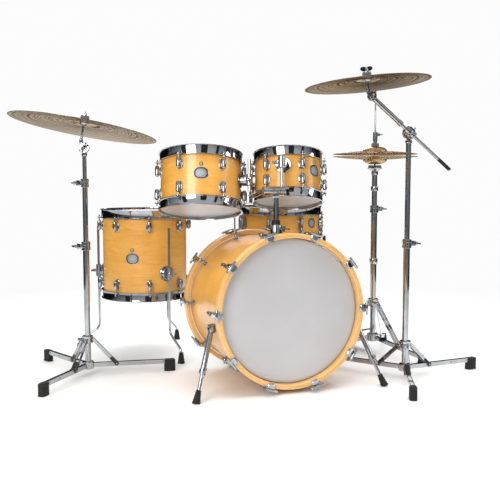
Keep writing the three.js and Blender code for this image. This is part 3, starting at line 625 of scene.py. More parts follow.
for name, (body, place, radius, depth, outer, lugs, first) in DRUMS.items():
    half = depth / 2
    rod_out = radius + 14.5
    wood = bmesh.new()
    shell(wood, place, radius, 7.0, depth)
    piece(name + "_shell_plies", wood, honey_maple, body, "maple_shell", name + "_shell")
    is_snare = name == "snare"
    lug_length = 74.0 if is_snare else 44.0
    fittings = bmesh.new()
    lug = bullet_lug(radius, rod_out, lug_length, 2 if is_snare else 1)
    ring(
        fittings, place, lug, lugs, first, 0.0 if is_snare else half - LUG_INSET, not is_snare, cast_chrome,
    )
    fitting(name + "_lugs", fittings, cast_chrome, body)
    lug_end = 33.0 if is_snare else half - LUG_INSET + 10
    rods = bmesh.new()
    ring(rods, place, rod_and_ear(outer, rod_out, half, lug_end), lugs, first, 0.0, True, polished_chrome)
    piece(name + "_rods_and_ears", rods, polished_chrome, body, "hoop_chrome")
    for end, hoop_node, head_node, film in (
        (1, "_top_hoop", "_batter_head", coated_film), (-1, "_bottom_hoop", "_resonant_head", smooth_film),
    ):
        hoop_mesh = bmesh.new()
        flanged_hoop(hoop_mesh, place, radius, outer, half, end)
        piece(
            name + hoop_node + "_steel", hoop_mesh, polished_chrome, body, "hoop_chrome", name + hoop_node,
        )
        film_mesh = bmesh.new()
        head(film_mesh, place, radius, half, end, 9.0)
        piece(name + head_node + "_film", film_mesh, film, body, "head_film", name + head_node)

# ---------------------------------------------------------------- badges and vents
# A pressed metal badge follows each shell: silver grey with a dark printed border and a nickel
# rim, and without any mark.
# A small eyelet above it lets the air out of the drum.
badge_enamel, badge_tree, badge_shader = finish(
    "grey_badge_enamel", Roughness=0.36, Metallic=0.2, Coat_Weight=0.4, Coat_Roughness=0.1,
)
badge_place = add(badge_tree, "ShaderNodeTexCoord").outputs["Object"]
badge_noise = add(badge_tree, "ShaderNodeTexNoise", {"Vector": badge_place, "Scale": 500.0, "Detail": 3.0})
badge_tree.links.new(
    ramp(badge_tree, badge_noise.outputs["Fac"], (0.3, "#95999d"), (0.7, "#b4b8bb")),
    badge_shader.inputs["Base Color"],
)


badge_print = finish("dark_badge_print", Roughness=0.45, Base_Color=linear("#26272a"))[0]


def badge_plate(bm, place, radius, degrees, height, half_width, half_height, rings, power=2.0):
    """Adds an oval plate bent round a shell, through rings of (share of its size, lift above the shell)."""
    made = []
    for share, lift in rings:
        ring_points = []
        for k in range(48):
            a = 2 * math.pi * k / 48
            c, s = math.cos(a), math.sin(a)
            across = share * half_width * math.copysign(abs(c) ** (2 / power), c)
            up = share * half_height * math.copysign(abs(s) ** (2 / power), s)
            ring_points.append(
                bm.verts.new(
                    place @ polar(radius + lift, degrees + math.degrees(across / radius), height + up)
                )
            )
        made.append(ring_points)
    bridge(bm, made)


def eyelet(bm, place, radius, degrees, height, outer=8.0):
    """Adds an air vent's eyelet, with its axis out of the shell."""
    out = polar(1, degrees)
    flat = frame_at(place, polar(radius, degrees, height), out, (0, 0, 1))
    revolve(
        bm, flat,
        [
            (outer * 0.55, -3), (outer, -0.5), (outer, 0.6), (outer * 0.85, 1.6), (outer * 0.65, 1.7),
            (outer * 0.5, 0.8), (outer * 0.45, -3),
        ],
        32,
    )


rim_nickel = plated("nickel_plated_rim", "#8f9094", "#b0b1b4", 0.2, 90.0, 0.04)
for name, degrees, height, half_width, half_height, power in (
    ("tom_12", 274.0, 5.0, 27.0, 22.5, 2.3), ("tom_10", 319.0, 10.0, 25.0, 23.0, 2.3),
    ("floor_tom", 241.6, -10.0, 28.0, 23.5, 2.3), ("snare", 299.4, 10.0, 24.0, 22.5, 2.3),
):
    body, place, radius = DRUMS[name][:3]
    enamel = bmesh.new()
    badge_plate(
        enamel, place, radius, degrees, height, half_width, half_height,
        [(0.88, -0.5), (0.88, 1.2), (0.5, 1.3), (0.1, 1.35)], power,
    )
    fitting(name + "_badge", enamel, badge_enamel, body)
    border = bmesh.new()
    badge_plate(
        border, place, radius, degrees, height, half_width, half_height,
        [(0.89, 0.4), (0.89, 1.5), (0.74, 1.6), (0.73, 0.6)], power,
    )
    for a in range(0, 360, 30):  # twelve printed ticks inside the border
        faces = []
        for lift in (1.0, 1.6):
            corners = []
            for share, b in ((0.5, a - 5), (0.66, a - 4), (0.66, a + 4), (0.5, a + 5)):
                across = share * half_width * math.cos(math.radians(b))
                up = share * half_height * math.sin(math.radians(b))
                corners.append(
                    border.verts.new(
                        place @ polar(radius + lift, degrees + math.degrees(across / radius), height + up)
                    )
                )
            faces.append(corners)
        bridge(border, faces)
    fitting(name + "_badge_border", border, badge_print, body)
    rim = bmesh.new()
    badge_plate(
        rim, place, radius, degrees, height, half_width, half_height,
        [(0.86, -0.6), (1.0, 0.1), (0.99, 1.1), (0.94, 1.8), (0.88, 1.6), (0.87, 0.9)], power,
    )
    eyelet(rim, place, radius, degrees, height + half_height + 12)
    fitting(name + "_badge_rim_and_vent", rim, rim_nickel, body)

# ---------------------------------------------------------------- spurs
# A chrome sleeve swings on a hinge block each side of the bass drum. A thinner rod slides in it,
# held by a wing screw, and ends in a ribbed rubber foot.
# degrees below the drum's middle, distance behind the front hoop, and the foot's place in X and Y
SPUR_ANGLE, SPUR_Y, SPUR_FOOT = 11.0, 75.0, (356.0, -16.0)
spur_z = (HOOP_OVERALL / 2 - SPUR_Y) / math.cos(bass_tilt)


def moulded_rubber(name, colour, worn, rough):
    """Black rubber with a fine moulded grain and dust in its low places."""
    material, tree, shader = finish(name, Roughness=rough, IOR=1.52)
    place = add(tree, "ShaderNodeTexCoord").outputs["Object"]
    dust = add(tree, "ShaderNodeTexNoise", {"Vector": place, "Scale": 60.0, "Detail": 5.0})
    tree.links.new(
        ramp(tree, dust.outputs["Fac"], (0.35, colour), (0.75, worn)), shader.inputs["Base Color"],
    )
    grain = add(tree, "ShaderNodeTexNoise", {"Vector": place, "Scale": 1200.0, "Detail": 2.0})
    bump = add(
        tree, "ShaderNodeBump", {"Height": grain.outputs["Fac"], "Strength": 0.3, "Distance": 0.0003},
    )
    tree.links.new(bump.outputs[0], shader.inputs["Normal"])
    return material


def wing_screw(bm, place, wing=15.0, neck=10.0, thick=4.4):
    """Adds a wing screw along the frame's Z: a neck and a boss with two rounded wings."""
    revolve(
        bm, place,
        [
            (0, 0), (4.2, 0), (4.2, neck), (6.4, neck + 1), (6.8, neck + 7), (5.2, neck + 9.5),
            (0, neck + 10),
        ],
        20,
    )
    outline = []
    for k in range(28):
        a = 2 * math.pi * k / 28
        reach = wing * (0.55 + 0.65 * abs(math.cos(a)) ** 1.3)
        outline.append(
            (reach * math.cos(a), neck + 8 + 0.62 * reach * math.sin(a) + 3.2 * abs(math.cos(a)))
        )
    sides = (thick / 2, -thick / 2)
    bridge(bm, [[bm.verts.new(place @ Vector((x, y, z))) for x, z in outline] for y in sides])


def bush(bm, place, start, end, radius, soften=1.2, sides=32):
    """Adds a round boss between two points, with its edges broken."""
    start, end = Vector(start), Vector(end)
    along = end - start
    length = along.length
    flat = frame_at(place, start, along, along.orthogonal())
    revolve(
        bm, flat,
        [
            (0, 0), (radius - soften, 0), (radius, soften), (radius, length - soften),
            (radius - soften, length), (0, length),
        ],
        sides,
    )


black_rubber = moulded_rubber("moulded_black_rubber", "#0c0c0d", "#1c1b1b", 0.7)
black_nylon = moulded_rubber("black_nylon", "#0a0a0b", "#151517", 0.42)


def ribbed_foot(bm, place, top, wide, height, ribs=5):
    """Adds a round rubber foot that widens to the floor, with ribs round it."""
    outline = [(0, 0), (wide - 1.5, 0), (wide, 1.5)]
    for k in range(ribs):
        low, high = (k + 0.3) / ribs, (k + 0.8) / ribs
        for share, inset in ((low, 0.0), (low + 0.04, 1.4), (high, 1.4), (high + 0.04, 0.0)):
            outline.append((wide + (top - wide) * share - inset, height * (0.06 + 0.88 * share)))
    revolve(bm, place, outline + [(top - 1, height), (0, height)], 40)


for side, sign, turn, node in (
    ("left", -1, 180 + SPUR_ANGLE, "bass_spur_left"), ("right", 1, -SPUR_ANGLE, "bass_spur_right"),
):
    hub = KIT.inverted() @ BASS @ polar(BASS_RADIUS + 26, turn, spur_z)
    foot = Vector((sign * SPUR_FOOT[0], SPUR_FOOT[1], 0))
    step = hub - foot
    out = (KIT.inverted() @ BASS).to_3x3() @ polar(1, turn)
    bracket = bmesh.new()
    flat = frame_at(BASS, polar(BASS_RADIUS - 1, turn, spur_z), polar(1, turn), (0, 0, 1))
    loft(
        bracket, flat, [(0, 20, 25, 0), (3, 20, 25, 0), (5, 18, 23, 0), (11, 13, 17, 0), (13.6, 12, 16, 0)],
        40, 3.4,
    )
    for corner in (-1, 1):
        bush(bracket, flat, (0, corner * 20, 2), (0, corner * 20, 8.5), 4.4, 1.4, 20)
    fitting(f"spur_{side}_bracket", bracket, cast_chrome, "kit")
    arm = bmesh.new()
    bush(arm, KIT, hub - out * 11.5, hub + out * 11.5, 18, 2.5, 40)
    bush(arm, KIT, hub + out * 11, hub + out * 15, 8, 1.5, 6)
    sweep(arm, KIT, [foot + step * 0.13, foot + step * 0.45], 6.0, 24)
    bush(arm, KIT, foot + step * 0.4, hub - step * 0.04, 9.5, 1.2, 32)
    bush(arm, KIT, foot + step * 0.385, foot + step * 0.455, 12.2, 1.5, 32)
    screw = frame_at(KIT, foot + step * 0.42 + Vector((0, -8, 0)), (0, -1, 0.1), step)
    wing_screw(arm, screw @ Matrix.Rotation(math.pi / 2, 4, "Z"), 15, 8)
    fitting(f"spur_{side}_arm", arm, polished_chrome, f"spur_{side}", node)
    rubber = bmesh.new()
    lean = step.normalized()
    tilt = frame_at(KIT, foot + lean * 0.1, lean, (0, 1, 0))
    ribbed_foot(rubber, tilt, 9.5, 14.5, 46)
    for vertex in rubber.verts:
        vertex.co.z = max(vertex.co.z, 0.0)
    fitting(f"spur_{side}_foot", rubber, black_rubber, f"spur_{side}")

# ---------------------------------------------------------------- tom mount
# A cast bracket on the bass drum clamps a tube, whose block carries the two ratchet arms.
# Each arm ends in a rod that a bracket on its tom grips.
MOUNT_Y, BLOCK_Z, ARM_ROD = 170.0, 709.0, 6.4
RIGHT_FOOT, LEFT_FOOT, ELBOW = Vector((23, 172, 709)), Vector((-38, 172, 709)), Vector((-56, 306, 680))

mount = bmesh.new()
post_place = KIT @ Matrix.Translation((0, MOUNT_Y, 0))
loft(
    mount, post_place,
    [(526, 33, 37, 0), (540, 33, 37, 0), (546, 31, 35, 0), (550, 26, 28, 0), (556, 22.5, 23, 0)], 48, 3.6,
)
revolve(
    mount, post_place, [(10.1, 545), (22, 545), (22, 582), (21, 584), (16, 585), (16, 590), (10.1, 590)],
    56,
)
block(mount, post_place, (14, -9, 560), (35, 9, 580), 2)
for corner_x, corner_y in ((-25, -28), (25, -28), (-25, 28), (25, 28)):
    bush(mount, post_place, (corner_x, corner_y, 538), (corner_x, corner_y, 548), 4.2, 1.2, 20)
wing_screw(mount, frame_at(post_place, (24, -8, 570), (0, -1, 0), (0, 0, 1)), 17, 6)
fitting("tom_mount_casting", mount, cast_chrome, "kit", "tom_mount_bracket")
sleeve = bmesh.new()
revolve(sleeve, post_place, [(10.0, 589), (15, 589), (15, 601), (13.6, 603), (10.0, 603)], 40)
fitting("tom_mount_sleeve", sleeve, black_nylon, "kit")

post = bmesh.new()
revolve(post, post_place, [(0, 480), (8.8, 480), (9.5, 480.8), (9.5, 690), (0, 690)], 40)
bush(post, post_place, (-12, 2, BLOCK_Z), (12, 2, BLOCK_Z), 16, 1.6, 48)
revolve(post, post_place, [(0, 684), (11.5, 684), (12.5, 686), (12.5, 700), (0, 702)], 6)
bush(post, post_place, (0, -15, BLOCK_Z), (0, -19, BLOCK_Z), 6, 1.2, 6)
fitting("tom_mount_tube", post, polished_chrome, "tom_post", "tom_mount_post")

for side, sign, outer, body in (("right", 1, 34, "arm_right"), ("left", -1, 50, "arm_left")):
    arm = bmesh.new()
    bush(arm, post_place, (sign * 12.6, 2, BLOCK_Z), (sign * outer, 2, BLOCK_Z), 16, 1.6, 48)
    for k in range(3):
        at = sign * (15 + 4 * k)
        bush(arm, post_place, (at, 2, BLOCK_Z), (at + sign * 1.6, 2, BLOCK_Z), 16.6, 0.6, 48)
    if side == "right":
        sweep(arm, KIT, [RIGHT_FOOT, RIGHT_FOOT + TOM_AXIS * 132], ARM_ROD, 28)
    else:
        sweep(arm, KIT, [LEFT_FOOT, ELBOW], ARM_ROD + 1, 28)
        tilted = frame_at(KIT, ELBOW, TOM_AXIS, AWAY)
        loft(arm, tilted, [(-22, 10, 11, 0), (-20, 12, 13, 0), (20, 12, 13, 0), (22, 10, 11, 0)], 36, 3.6)
        bush(arm, tilted, (0, -13, 6), (0, -17, 6), 6, 1.2, 24)
        sweep(arm, KIT, [ELBOW, ELBOW + TOM_AXIS * 150], ARM_ROD, 28)
    fitting(f"tom_arm_{side}_steel", arm, polished_chrome, body, f"tom_arm_{side}")
    knob = bmesh.new()
    wing_screw(
        knob, frame_at(post_place, (sign * (outer - 1), 2, BLOCK_Z), (sign, 0, 0), (0, 0, 1)), 19, 8, 7,
    )
    fitting(f"tom_arm_{side}_wing_knob", knob, black_nylon if side == "right" else cast_chrome, body)

for name, rod_point, bracket_z in (("tom_12", ELBOW, 5.0), ("tom_10", RIGHT_FOOT, 22.0)):
    body, place, radius = DRUMS[name][:3]
    rod = place.inverted() @ KIT @ rod_point
    far, degrees = math.hypot(rod.x, rod.y), math.degrees(math.atan2(rod.y, rod.x))
    grip = bmesh.new()
    turned = place @ Matrix.Rotation(math.radians(degrees), 4, "Z")
    bush(grip, turned, (radius + 0.4, 0, bracket_z), (radius + 4, 0, bracket_z), 29, 1.4, 56)
    bush(grip, turned, (radius + 3, 0, bracket_z), (far - 6, 0, bracket_z), 21, 3, 48)
    revolve(
        grip, turned @ Matrix.Translation((far, 0, 0)),
        [
            (6.9, bracket_z - 22), (11.5, bracket_z - 22), (13, bracket_z - 20), (13, bracket_z + 20),
            (11.5, bracket_z + 22), (6.9, bracket_z + 22),
        ],
        40,
    )
    wing_screw(grip, frame_at(turned, (far, -12, bracket_z), (0, -1, 0), (0, 0, 1)), 15, 6)
    fitting(name + "_bracket_casting", grip, cast_chrome, body, name + "_bracket")

# ---------------------------------------------------------------- floor tom legs
# Three steel rods bent outwards near the floor, each through a round cast bracket with a wing
# screw, ending in a black rubber foot.
# angles of the legs, distances of the rods and the feet from the drum's axis, height of the brackets
LEG_ANGLES, LEG_OUT, FOOT_OUT, HUB_Z = (48.3, 168.3, -71.7), 198.0, 286.0, 360.0
FLOOR, floor_radius = DRUMS["floor_tom"][1:3]
ground = -434.0  # the floor, from the drum's middle


def bent(path, reach=14.0, steps=7):
    """A path with its corners drawn as curves."""
    path = [Vector(p) for p in path]
    made = [path[0]]
    for before, corner, after in zip(path, path[1:], path[2:]):
        start = corner + (before - corner).normalized() * reach
        end = corner + (after - corner).normalized() * reach
        for k in range(steps + 1):
            t = k / steps
            made.append(start * (1 - t) ** 2 + corner * 2 * t * (1 - t) + end * t * t)
    return made + [path[-1]]


for number, degrees in enumerate(LEG_ANGLES, 1):
    hub_z = HUB_Z + ground
    leg = bmesh.new()
    route = [
        polar(LEG_OUT, degrees, ground + 550), polar(LEG_OUT, degrees, ground + 112),
        polar(FOOT_OUT, degrees, ground + 56), polar(FOOT_OUT, degrees, ground + 20),
    ]
    sweep(leg, FLOOR, bent(route, 20), 5.0, 24)
    for k in range(5):
        revolve(
            leg, FLOOR @ Matrix.Translation(polar(LEG_OUT, degrees, ground + 420 + 22 * k)),
            [(4.9, -1), (5.3, -0.6), (5.3, 0.6), (4.9, 1)], 24,
        )
    fitting(
        f"floor_tom_leg_{number}_rod", leg, polished_chrome, f"floor_leg_{number}",
        f"floor_tom_leg_{number}",
    )
    rubber = bmesh.new()
    ribbed_foot(rubber, FLOOR @ Matrix.Translation(polar(FOOT_OUT, degrees, ground)), 9.5, 15, 45, 4)
    fitting(f"floor_tom_leg_{number}_foot", rubber, black_rubber, f"floor_leg_{number}")
    bracket = bmesh.new()
    turned = FLOOR @ Matrix.Rotation(math.radians(degrees), 4, "Z")
    bush(bracket, turned, (floor_radius - 1, 0, hub_z), (floor_radius + 4, 0, hub_z), 32, 1.5, 56)
    bush(bracket, turned, (floor_radius + 3, 0, hub_z), (LEG_OUT - 8, 0, hub_z), 26, 3, 48)
    revolve(
        bracket, turned @ Matrix.Translation((LEG_OUT, 0, hub_z)),
        [(5.5, -26), (9.5, -26), (11, -24), (11, 24), (9.5, 26), (5.5, 26)], 36,
    )
    bush(bracket, turned, (LEG_OUT + 8, 0, hub_z), (LEG_OUT + 14, 0, hub_z), 9, 1.5, 32)
    wing_screw(bracket, frame_at(turned, (LEG_OUT + 12, 0, hub_z), (1, 0, 0), (0, 0, 1)), 16, 3)
    fitting(f"floor_tom_bracket_{number}", bracket, cast_chrome, "kit")

# ---------------------------------------------------------------- snare strainer and wires
# A chrome strainer with a throw-off lever works the wires, twenty coiled strands of steel held
# across the bottom head from the strainer to the butt plate.
STRAINER_ANGLE = 165.4
snare_body, SNARE, snare_radius = DRUMS["snare"][:3]
strainer_place = SNARE @ Matrix.Rotation(math.radians(STRAINER_ANGLE), 4, "Z")
strainer = bmesh.new()
face = snare_radius + 0.4
loft(
    strainer, frame_at(strainer_place, (face - 1.5, 0, -4), (1, 0, 0), (0, 0, 1)),
    [(0, 17, 42, 0), (3, 17, 42, 0), (11, 14, 38, 0), (14, 12, 35, 0)], 40, 3.4,
)
for side in (-1, 1):
    block(strainer, strainer_place, (face + 10, side * 8 - 2, -38), (face + 23, side * 8 + 2, -22), 0.8)
block(strainer, strainer_place, (face + 9, -9, -64), (face + 14, 9, -40), 1)
wing_screw(strainer, frame_at(strainer_place, (face + 7, 0, 34), (0, 0, 1), (1, 0, 0)), 8, 3)
fitting("snare_strainer_casting", strainer, cast_chrome, snare_body, "snare_strainer")
lever = bmesh.new()
bush(lever, strainer_place, (face + 30, -15, -27), (face + 30, 15, -27), 6, 1.2, 28)
loft(
    lever, strainer_place,
    [
        (-27, 3.4, 8, face + 30.5), (0, 3.2, 7, face + 30.5), (28, 3.2, 7.4, face + 31),
        (36, 3.4, 9, face + 31), (39, 2.4, 7, face + 31),
    ],
    28, 2.8,
)
fitting("snare_throw_off_lever", lever, polished_chrome, "throw_off", "snare_throw_off")
butt = bmesh.new()
butt_place = SNARE @ Matrix.Rotation(math.radians(STRAINER_ANGLE - 180), 4, "Z")
loft(
    butt, frame_at(butt_place, (snare_radius - 1, 0, 0), (1, 0, 0), (0, 0, 1)),
    [(0, 15, 21, 0), (10, 14, 20, 0), (16, 11, 17, 0)], 36, 3.4,
)
for row in (-9, 9):
    bush(butt, butt_place, (snare_radius + 14, 0, row), (snare_radius + 19, 0, row), 4.5, 1, 20)
fitting("snare_butt_plate", butt, cast_chrome, snare_body)
wires = bmesh.new()
for k in range(20):
    across = (k - 9.5) * 2.1
    path = [(150 * t, across, -71.9) for t in (-1.0, -0.5, 0.0, 0.5, 1.0)]
    sweep(wires, strainer_place, path, 0.7, 6)
for side in (-1, 1):
    block(wires, strainer_place, (side * 150 - 7, -22, -73.4), (side * 150 + 7, 22, -71.2), 0.5)
fitting("snare_wires", wires, polished_chrome, snare_body)

# ---------------------------------------------------------------- cymbal stands
# Flat-base stands: three double strips of plated steel on rubber feet, braced from a collar with
# black nylon sleeves at the joints, and tubes that slide in each other under ring clamps.
FEET_OUT, LEG_Z, BRACE_OUT = 315.0, 38.0, 108.0
LOWER, MIDDLE, UPPER = (11.9, 10.2), (9.6, 8.2), (7.6, 6.4)


def pipe(bm, place, outer, inner, low, high):
    """Adds a steel tube along Z, with its ends rolled."""
    revolve(
        bm, place,
        [
            (inner, low), (outer - 0.6, low), (outer, low + 0.6), (outer, high - 0.6), (outer - 0.6, high),
            (inner, high),
        ],
        48,
    )


def ring_clamp(bm, place, height, outer, side):
    """Adds a ring clamp round a tube, with its ear and wing screw to one side."""
    z = height
    revolve(
        bm, place,
        [
            (outer - 0.2, z - 16), (outer + 4.2, z - 16), (outer + 5, z - 15), (outer + 5, z - 5),
            (outer + 4.2, z - 4), (outer + 4.2, z + 4), (outer + 5, z + 5), (outer + 5, z + 14),
            (outer + 3.6, z + 16), (outer - 1.6, z + 16), (outer - 1.6, z + 15), (outer - 0.2, z + 15),
        ],
        48,
    )
    inward, outward = sorted((side * (outer + 2), side * (outer + 22)))
    for y in (-5.2, 5.2):
        block(bm, place, (inward, y - 2.2, z - 10), (outward, y + 2.2, z + 10), 1.4)
    bush(bm, place, (side * (outer + 14), -11, z), (side * (outer + 14), 11, z), 5.2, 1, 6)
    wing_screw(bm, frame_at(place, (side * (outer + 20), 0, z), (side, 0, 0), (0, 0, 1)), 17, 3)


def strip(bm, place, start, end, width, thick):
    """Adds a flat steel strip on edge between two points, with round ends."""
    start, end = Vector(start), Vector(end)
    along = end - start
    flat = along.cross(UP)
    turned = frame_at(place, start, flat, flat.cross(along))
    length = along.length
    points = []
    for middle, first in ((0, 90), (length, -90)):
        for k in range(9):
            a = math.radians(first + 180 * k / 8)
            points.append((middle + width / 2 * math.cos(a), width / 2 * math.sin(a)))
    sides = (thick / 2, -thick / 2)
    bridge(bm, [[bm.verts.new(turned @ Vector((x, y, z))) for x, y in points] for z in sides])


def block_foot(bm, place, degrees, out):
    """Adds a ribbed rubber foot at the end of a flat leg."""
    turned = place @ Matrix.Rotation(math.radians(degrees), 4, "Z")
    sections = [(0, 20.5, 12, out), (1.2, 22, 13.5, out)]
    for k in range(6):
        z = 5 + 6 * k
        sections += [
            (z, 22, 13.5, out), (z + 0.7, 20.8, 12.3, out), (z + 2.4, 20.8, 12.3, out),
            (z + 3.1, 22, 13.5, out),
        ]
    loft(bm, turned, sections + [(43, 21.6, 13.2, out), (46, 19, 11, out)], 36, 4.2)


RIDE_SPOT, CRASH_SPOT = (-644, 509, 0), (492, 80, 0)

# name, place, angle of the first leg, height of the collar, height of the clamp, its side
STANDS = {
    "ride": (RIDE_SPOT, -6.6, 139.0, 498.0, -1),
    "crash": (CRASH_SPOT, 5.4, 127.0, 510.0, 1),
}
for name, (spot, first_leg, collar, clamp_z, clamp_side) in STANDS.items():
    place = KIT @ Matrix.Translation(spot)
    base, nylon, rubber = bmesh.new(), bmesh.new(), bmesh.new()
    pipe(base, place, *LOWER, 26, clamp_z)
    revolve(base, place, [(0, 24), (20, 24), (23, 26), (23, 49), (21, 52), (14, 53), (11, 53), (0, 53)], 48)
    revolve(
        base, place,
        [
            (11.6, collar - 14), (20, collar - 14), (22, collar - 12), (22, collar - 4), (20.5, collar - 3),
            (20.5, collar + 3), (22, collar + 4), (22, collar + 11), (19, collar + 14), (11.6, collar + 14),
        ],
        48,
    )
    wing_screw(
        base, frame_at(place, polar(20, first_leg + 180, collar), polar(1, first_leg + 180), UP), 14, 3,
    )
    ring_clamp(base, place, clamp_z, LOWER[0], clamp_side)
    for k in range(3):
        turned = place @ Matrix.Rotation(math.radians(first_leg + 120 * k), 4, "Z")
        for y in (-6.4, 6.4):
            strip(base, turned, (18, y, LEG_Z), (FEET_OUT - 8, y, LEG_Z), 16, 2.2)
        for y in (-9.4, 9.4):
            strip(base, turned, (19, y, collar), (BRACE_OUT, y, LEG_Z + 2), 12.5, 2.0)
        for x, z, wide in (
            (BRACE_OUT, LEG_Z + 2, 13.5), (19, collar, 12), (FEET_OUT - 26, LEG_Z, 10), (215, LEG_Z, 9.5),
        ):
            bush(base, turned, (x, -wide, z), (x, wide, z), 3.6, 1.2, 20)
        for y0, y1, size, soften in ((-8.3, 8.3, 9, 1), (-13, -10.6, 7.4, 0.8), (10.6, 13, 7.4, 0.8)):
            bush(nylon, turned, (BRACE_OUT, y0, LEG_Z + 2), (BRACE_OUT, y1, LEG_Z + 2), size, soften, 28)
        knuckle = Vector((BRACE_OUT, 0, LEG_Z + 2))
        slope = (Vector((19, 0, collar)) - knuckle).normalized()
        sleeve_place = frame_at(turned, knuckle + slope * 6, slope, (0, 1, 0))
        loft(
            nylon, sleeve_place, [(0, 7.4, 11.6, 0), (3, 7.8, 12, 0), (24, 7.6, 11.8, 0), (28, 7, 11, 0)],
            32, 3.6,
        )
        block_foot(rubber, place, first_leg + 120 * k, FEET_OUT)
    fitting(name + "_base_steel", base, polished_chrome, "kit", name + "_stand_base")
    fitting(name + "_base_sleeves", nylon, black_nylon, "kit")
    fitting(name + "_base_feet", rubber, black_rubber, "kit")

# ---------------------------------------------------------------- ride stand tubes and tilter
# Two more tubes and a ratchet tilter with fine radial teeth. The cymbal sits on a nylon sleeve
# between two felts, under a wing nut.
def ratchet_plate(bm, place, start, end, radius, teeth=48):
    """Adds a round plate between two points, with teeth on its edge."""
    start, end = Vector(start), Vector(end)
    along = end - start
    flat = frame_at(place, start, along, UP)
    rings = []
    for height, inset in ((0, 1.4), (1.0, 0.0), (along.length - 1.0, 0.0), (along.length, 1.4)):
        rings.append(
            [
                bm.verts.new(
                    flat @ polar(radius - inset - (0.9 if k % 2 else 0), 180 * k / teeth, height)
                ) for k in range(2 * teeth)
            ]
        )
    bridge(bm, rings)


def pressed_felt(name, colour, fleck):
    """Pressed wool felt: matt, with loose fibres and a speckle of grey."""
    material, tree, shader = finish(name, Roughness=0.95, Sheen_Weight=0.5, Sheen_Roughness=0.6)
    place = add(tree, "ShaderNodeTexCoord").outputs["Object"]
    fibre = add(
        tree, "ShaderNodeTexNoise", {"Vector": place, "Scale": 700.0, "Detail": 5.0, "Distortion": 1.5},
    )
    tree.links.new(
        ramp(tree, fibre.outputs["Fac"], (0.35, colour), (0.7, fleck)), shader.inputs["Base Color"],
    )
    bump = add(
        tree, "ShaderNodeBump", {"Height": fibre.outputs["Fac"], "Strength": 0.8, "Distance": 0.0006},
    )
    tree.links.new(bump.outputs[0], shader.inputs["Normal"])
    return material


grey_felt = pressed_felt("grey_wool_felt", "#3a3a3c", "#77777a")
RIDE_PIVOT, MIDDLE_TOP = 868.0, 737.0
SEAT_RISE = {"ride": 106.0, "crash": 74.0}  # from a tilter's axis to the top of the lower felt's cup
SEAT_ASIDE, PLATE_GAP = -14.0, -8.0  # from a tilter's axis to its cymbal's rod
ride_place = KIT @ Matrix.Translation(RIDE_SPOT)
middle = bmesh.new()
pipe(middle, ride_place, *MIDDLE, 348, MIDDLE_TOP)
ring_clamp(middle, ride_place, MIDDLE_TOP, MIDDLE[0], -1)
fitting("ride_middle_steel", middle, polished_chrome, "ride_middle", "ride_middle_tube")


def fixed_ratchet(bm, place, height, radius, neck, tube_top):
    """Adds the half of a tilter that stays on its tube: a neck behind the axis and a toothed plate."""
    back = AWAY * (neck + 1.2)
    sweep(
        bm, place,
        bent(
            [
                UP * tube_top, UP * (tube_top + 6), UP * (height - radius - 4) + back,
                UP * (height - 4) + back,
            ],
            5,
        ),
        [neck + 1.4] * 2 + [neck] * 16, 20,
    )
    ratchet_plate(bm, place, AWAY * 1.2 + UP * height, AWAY * 8 + UP * height, radius)
    bush(bm, place, AWAY * 7 + UP * height, AWAY * 14 + UP * height, radius * 0.62, 2, 36)
    bush(bm, place, AWAY * 13 + UP * height, AWAY * 17 + UP * height, 6, 1, 6)


RIDE_RATCHET = 19.0
upper = bmesh.new()
pipe(upper, ride_place, *UPPER, 587, 846)
revolve(upper, ride_place, [(0, 838), (9.4, 838), (10, 839), (10, 846), (8, 848), (0, 848)], 40)
fixed_ratchet(upper, ride_place, RIDE_PIVOT, RIDE_RATCHET, 5.5, 842)
fitting("ride_upper_steel", upper, polished_chrome, "ride_upper", "ride_upper_tube")


def cymbal_holder(name, place, radius, body):
    """Makes a tilter's moving half with its rod and nut, and the sleeve and felts."""
    rise, side = SEAT_RISE[name], SEAT_ASIDE
    steel, cups, felts = bmesh.new(), bmesh.new(), bmesh.new()
    ratchet_plate(steel, place, (0, -1.2, 0), (0, -8, 0), radius)
    bush(steel, place, (0, -7, 0), (0, -14, 0), radius * 0.66, 2, 36)
    wing_screw(steel, frame_at(place, (0, -13, 0), (0, -1, 0), (1, 0, -0.6)), 17, 5)
    loft(
        steel, place,
        [
            (-6, 9, 5.4, side * 0.2), (8, 10, 5.6, side * 0.5), (20, 7, 5.4, side * 0.95),
            (26, 5.6, 5.4, side),
        ],
        28, 2.8,
    )
    place = place @ Matrix.Translation((side, PLATE_GAP, 0))
    revolve(
        steel, place,
        [
            (0, 18), (6, 18), (6.6, 19), (6.6, 30), (5, 32), (4.2, 33), (4.2, rise + 31), (3.4, rise + 32),
            (0, rise + 32),
        ],
        28,
    )
    for k in range(9):
        z = rise + 14 + 2 * k
        revolve(steel, place, [(4.1, z - 0.7), (4.7, z), (4.1, z + 0.7)], 20)
    revolve(
        steel, place,
        [
            (4, rise - 22), (12, rise - 22), (16.4, rise - 16.4), (17, rise - 15), (17, rise - 14.4),
            (4, rise - 14.4),
        ],
        40,
    )
    revolve(
        steel, place, [(4.2, rise + 12.2), (15, rise + 12.2), (15, rise + 13.6), (4.2, rise + 13.6)], 40,
    )
    wing_screw(steel, place @ Matrix.Translation((0, 0, rise + 13)), 19, 2, 4.6)
    revolve(cups, place, [(4.1, rise - 13.8), (5.9, rise - 13.8), (5.9, rise + 8), (4.1, rise + 8)], 28)
    for low, high in ((rise - 14.2, rise - 3.2), (rise + 1.2, rise + 12)):
        revolve(
            felts, place,
            [
                (6, low), (15.4, low), (16.8, low + 1.6), (17, (low + high) / 2), (16.8, high - 1.6),
                (15.4, high), (6, high),
            ],
            40,
        )
    fitting(name + "_tilter_steel", steel, cast_chrome, body, name + "_tilter")
    fitting(name + "_cymbal_sleeve", cups, black_nylon, body)
    fitting(name + "_felts", felts, grey_felt, body)


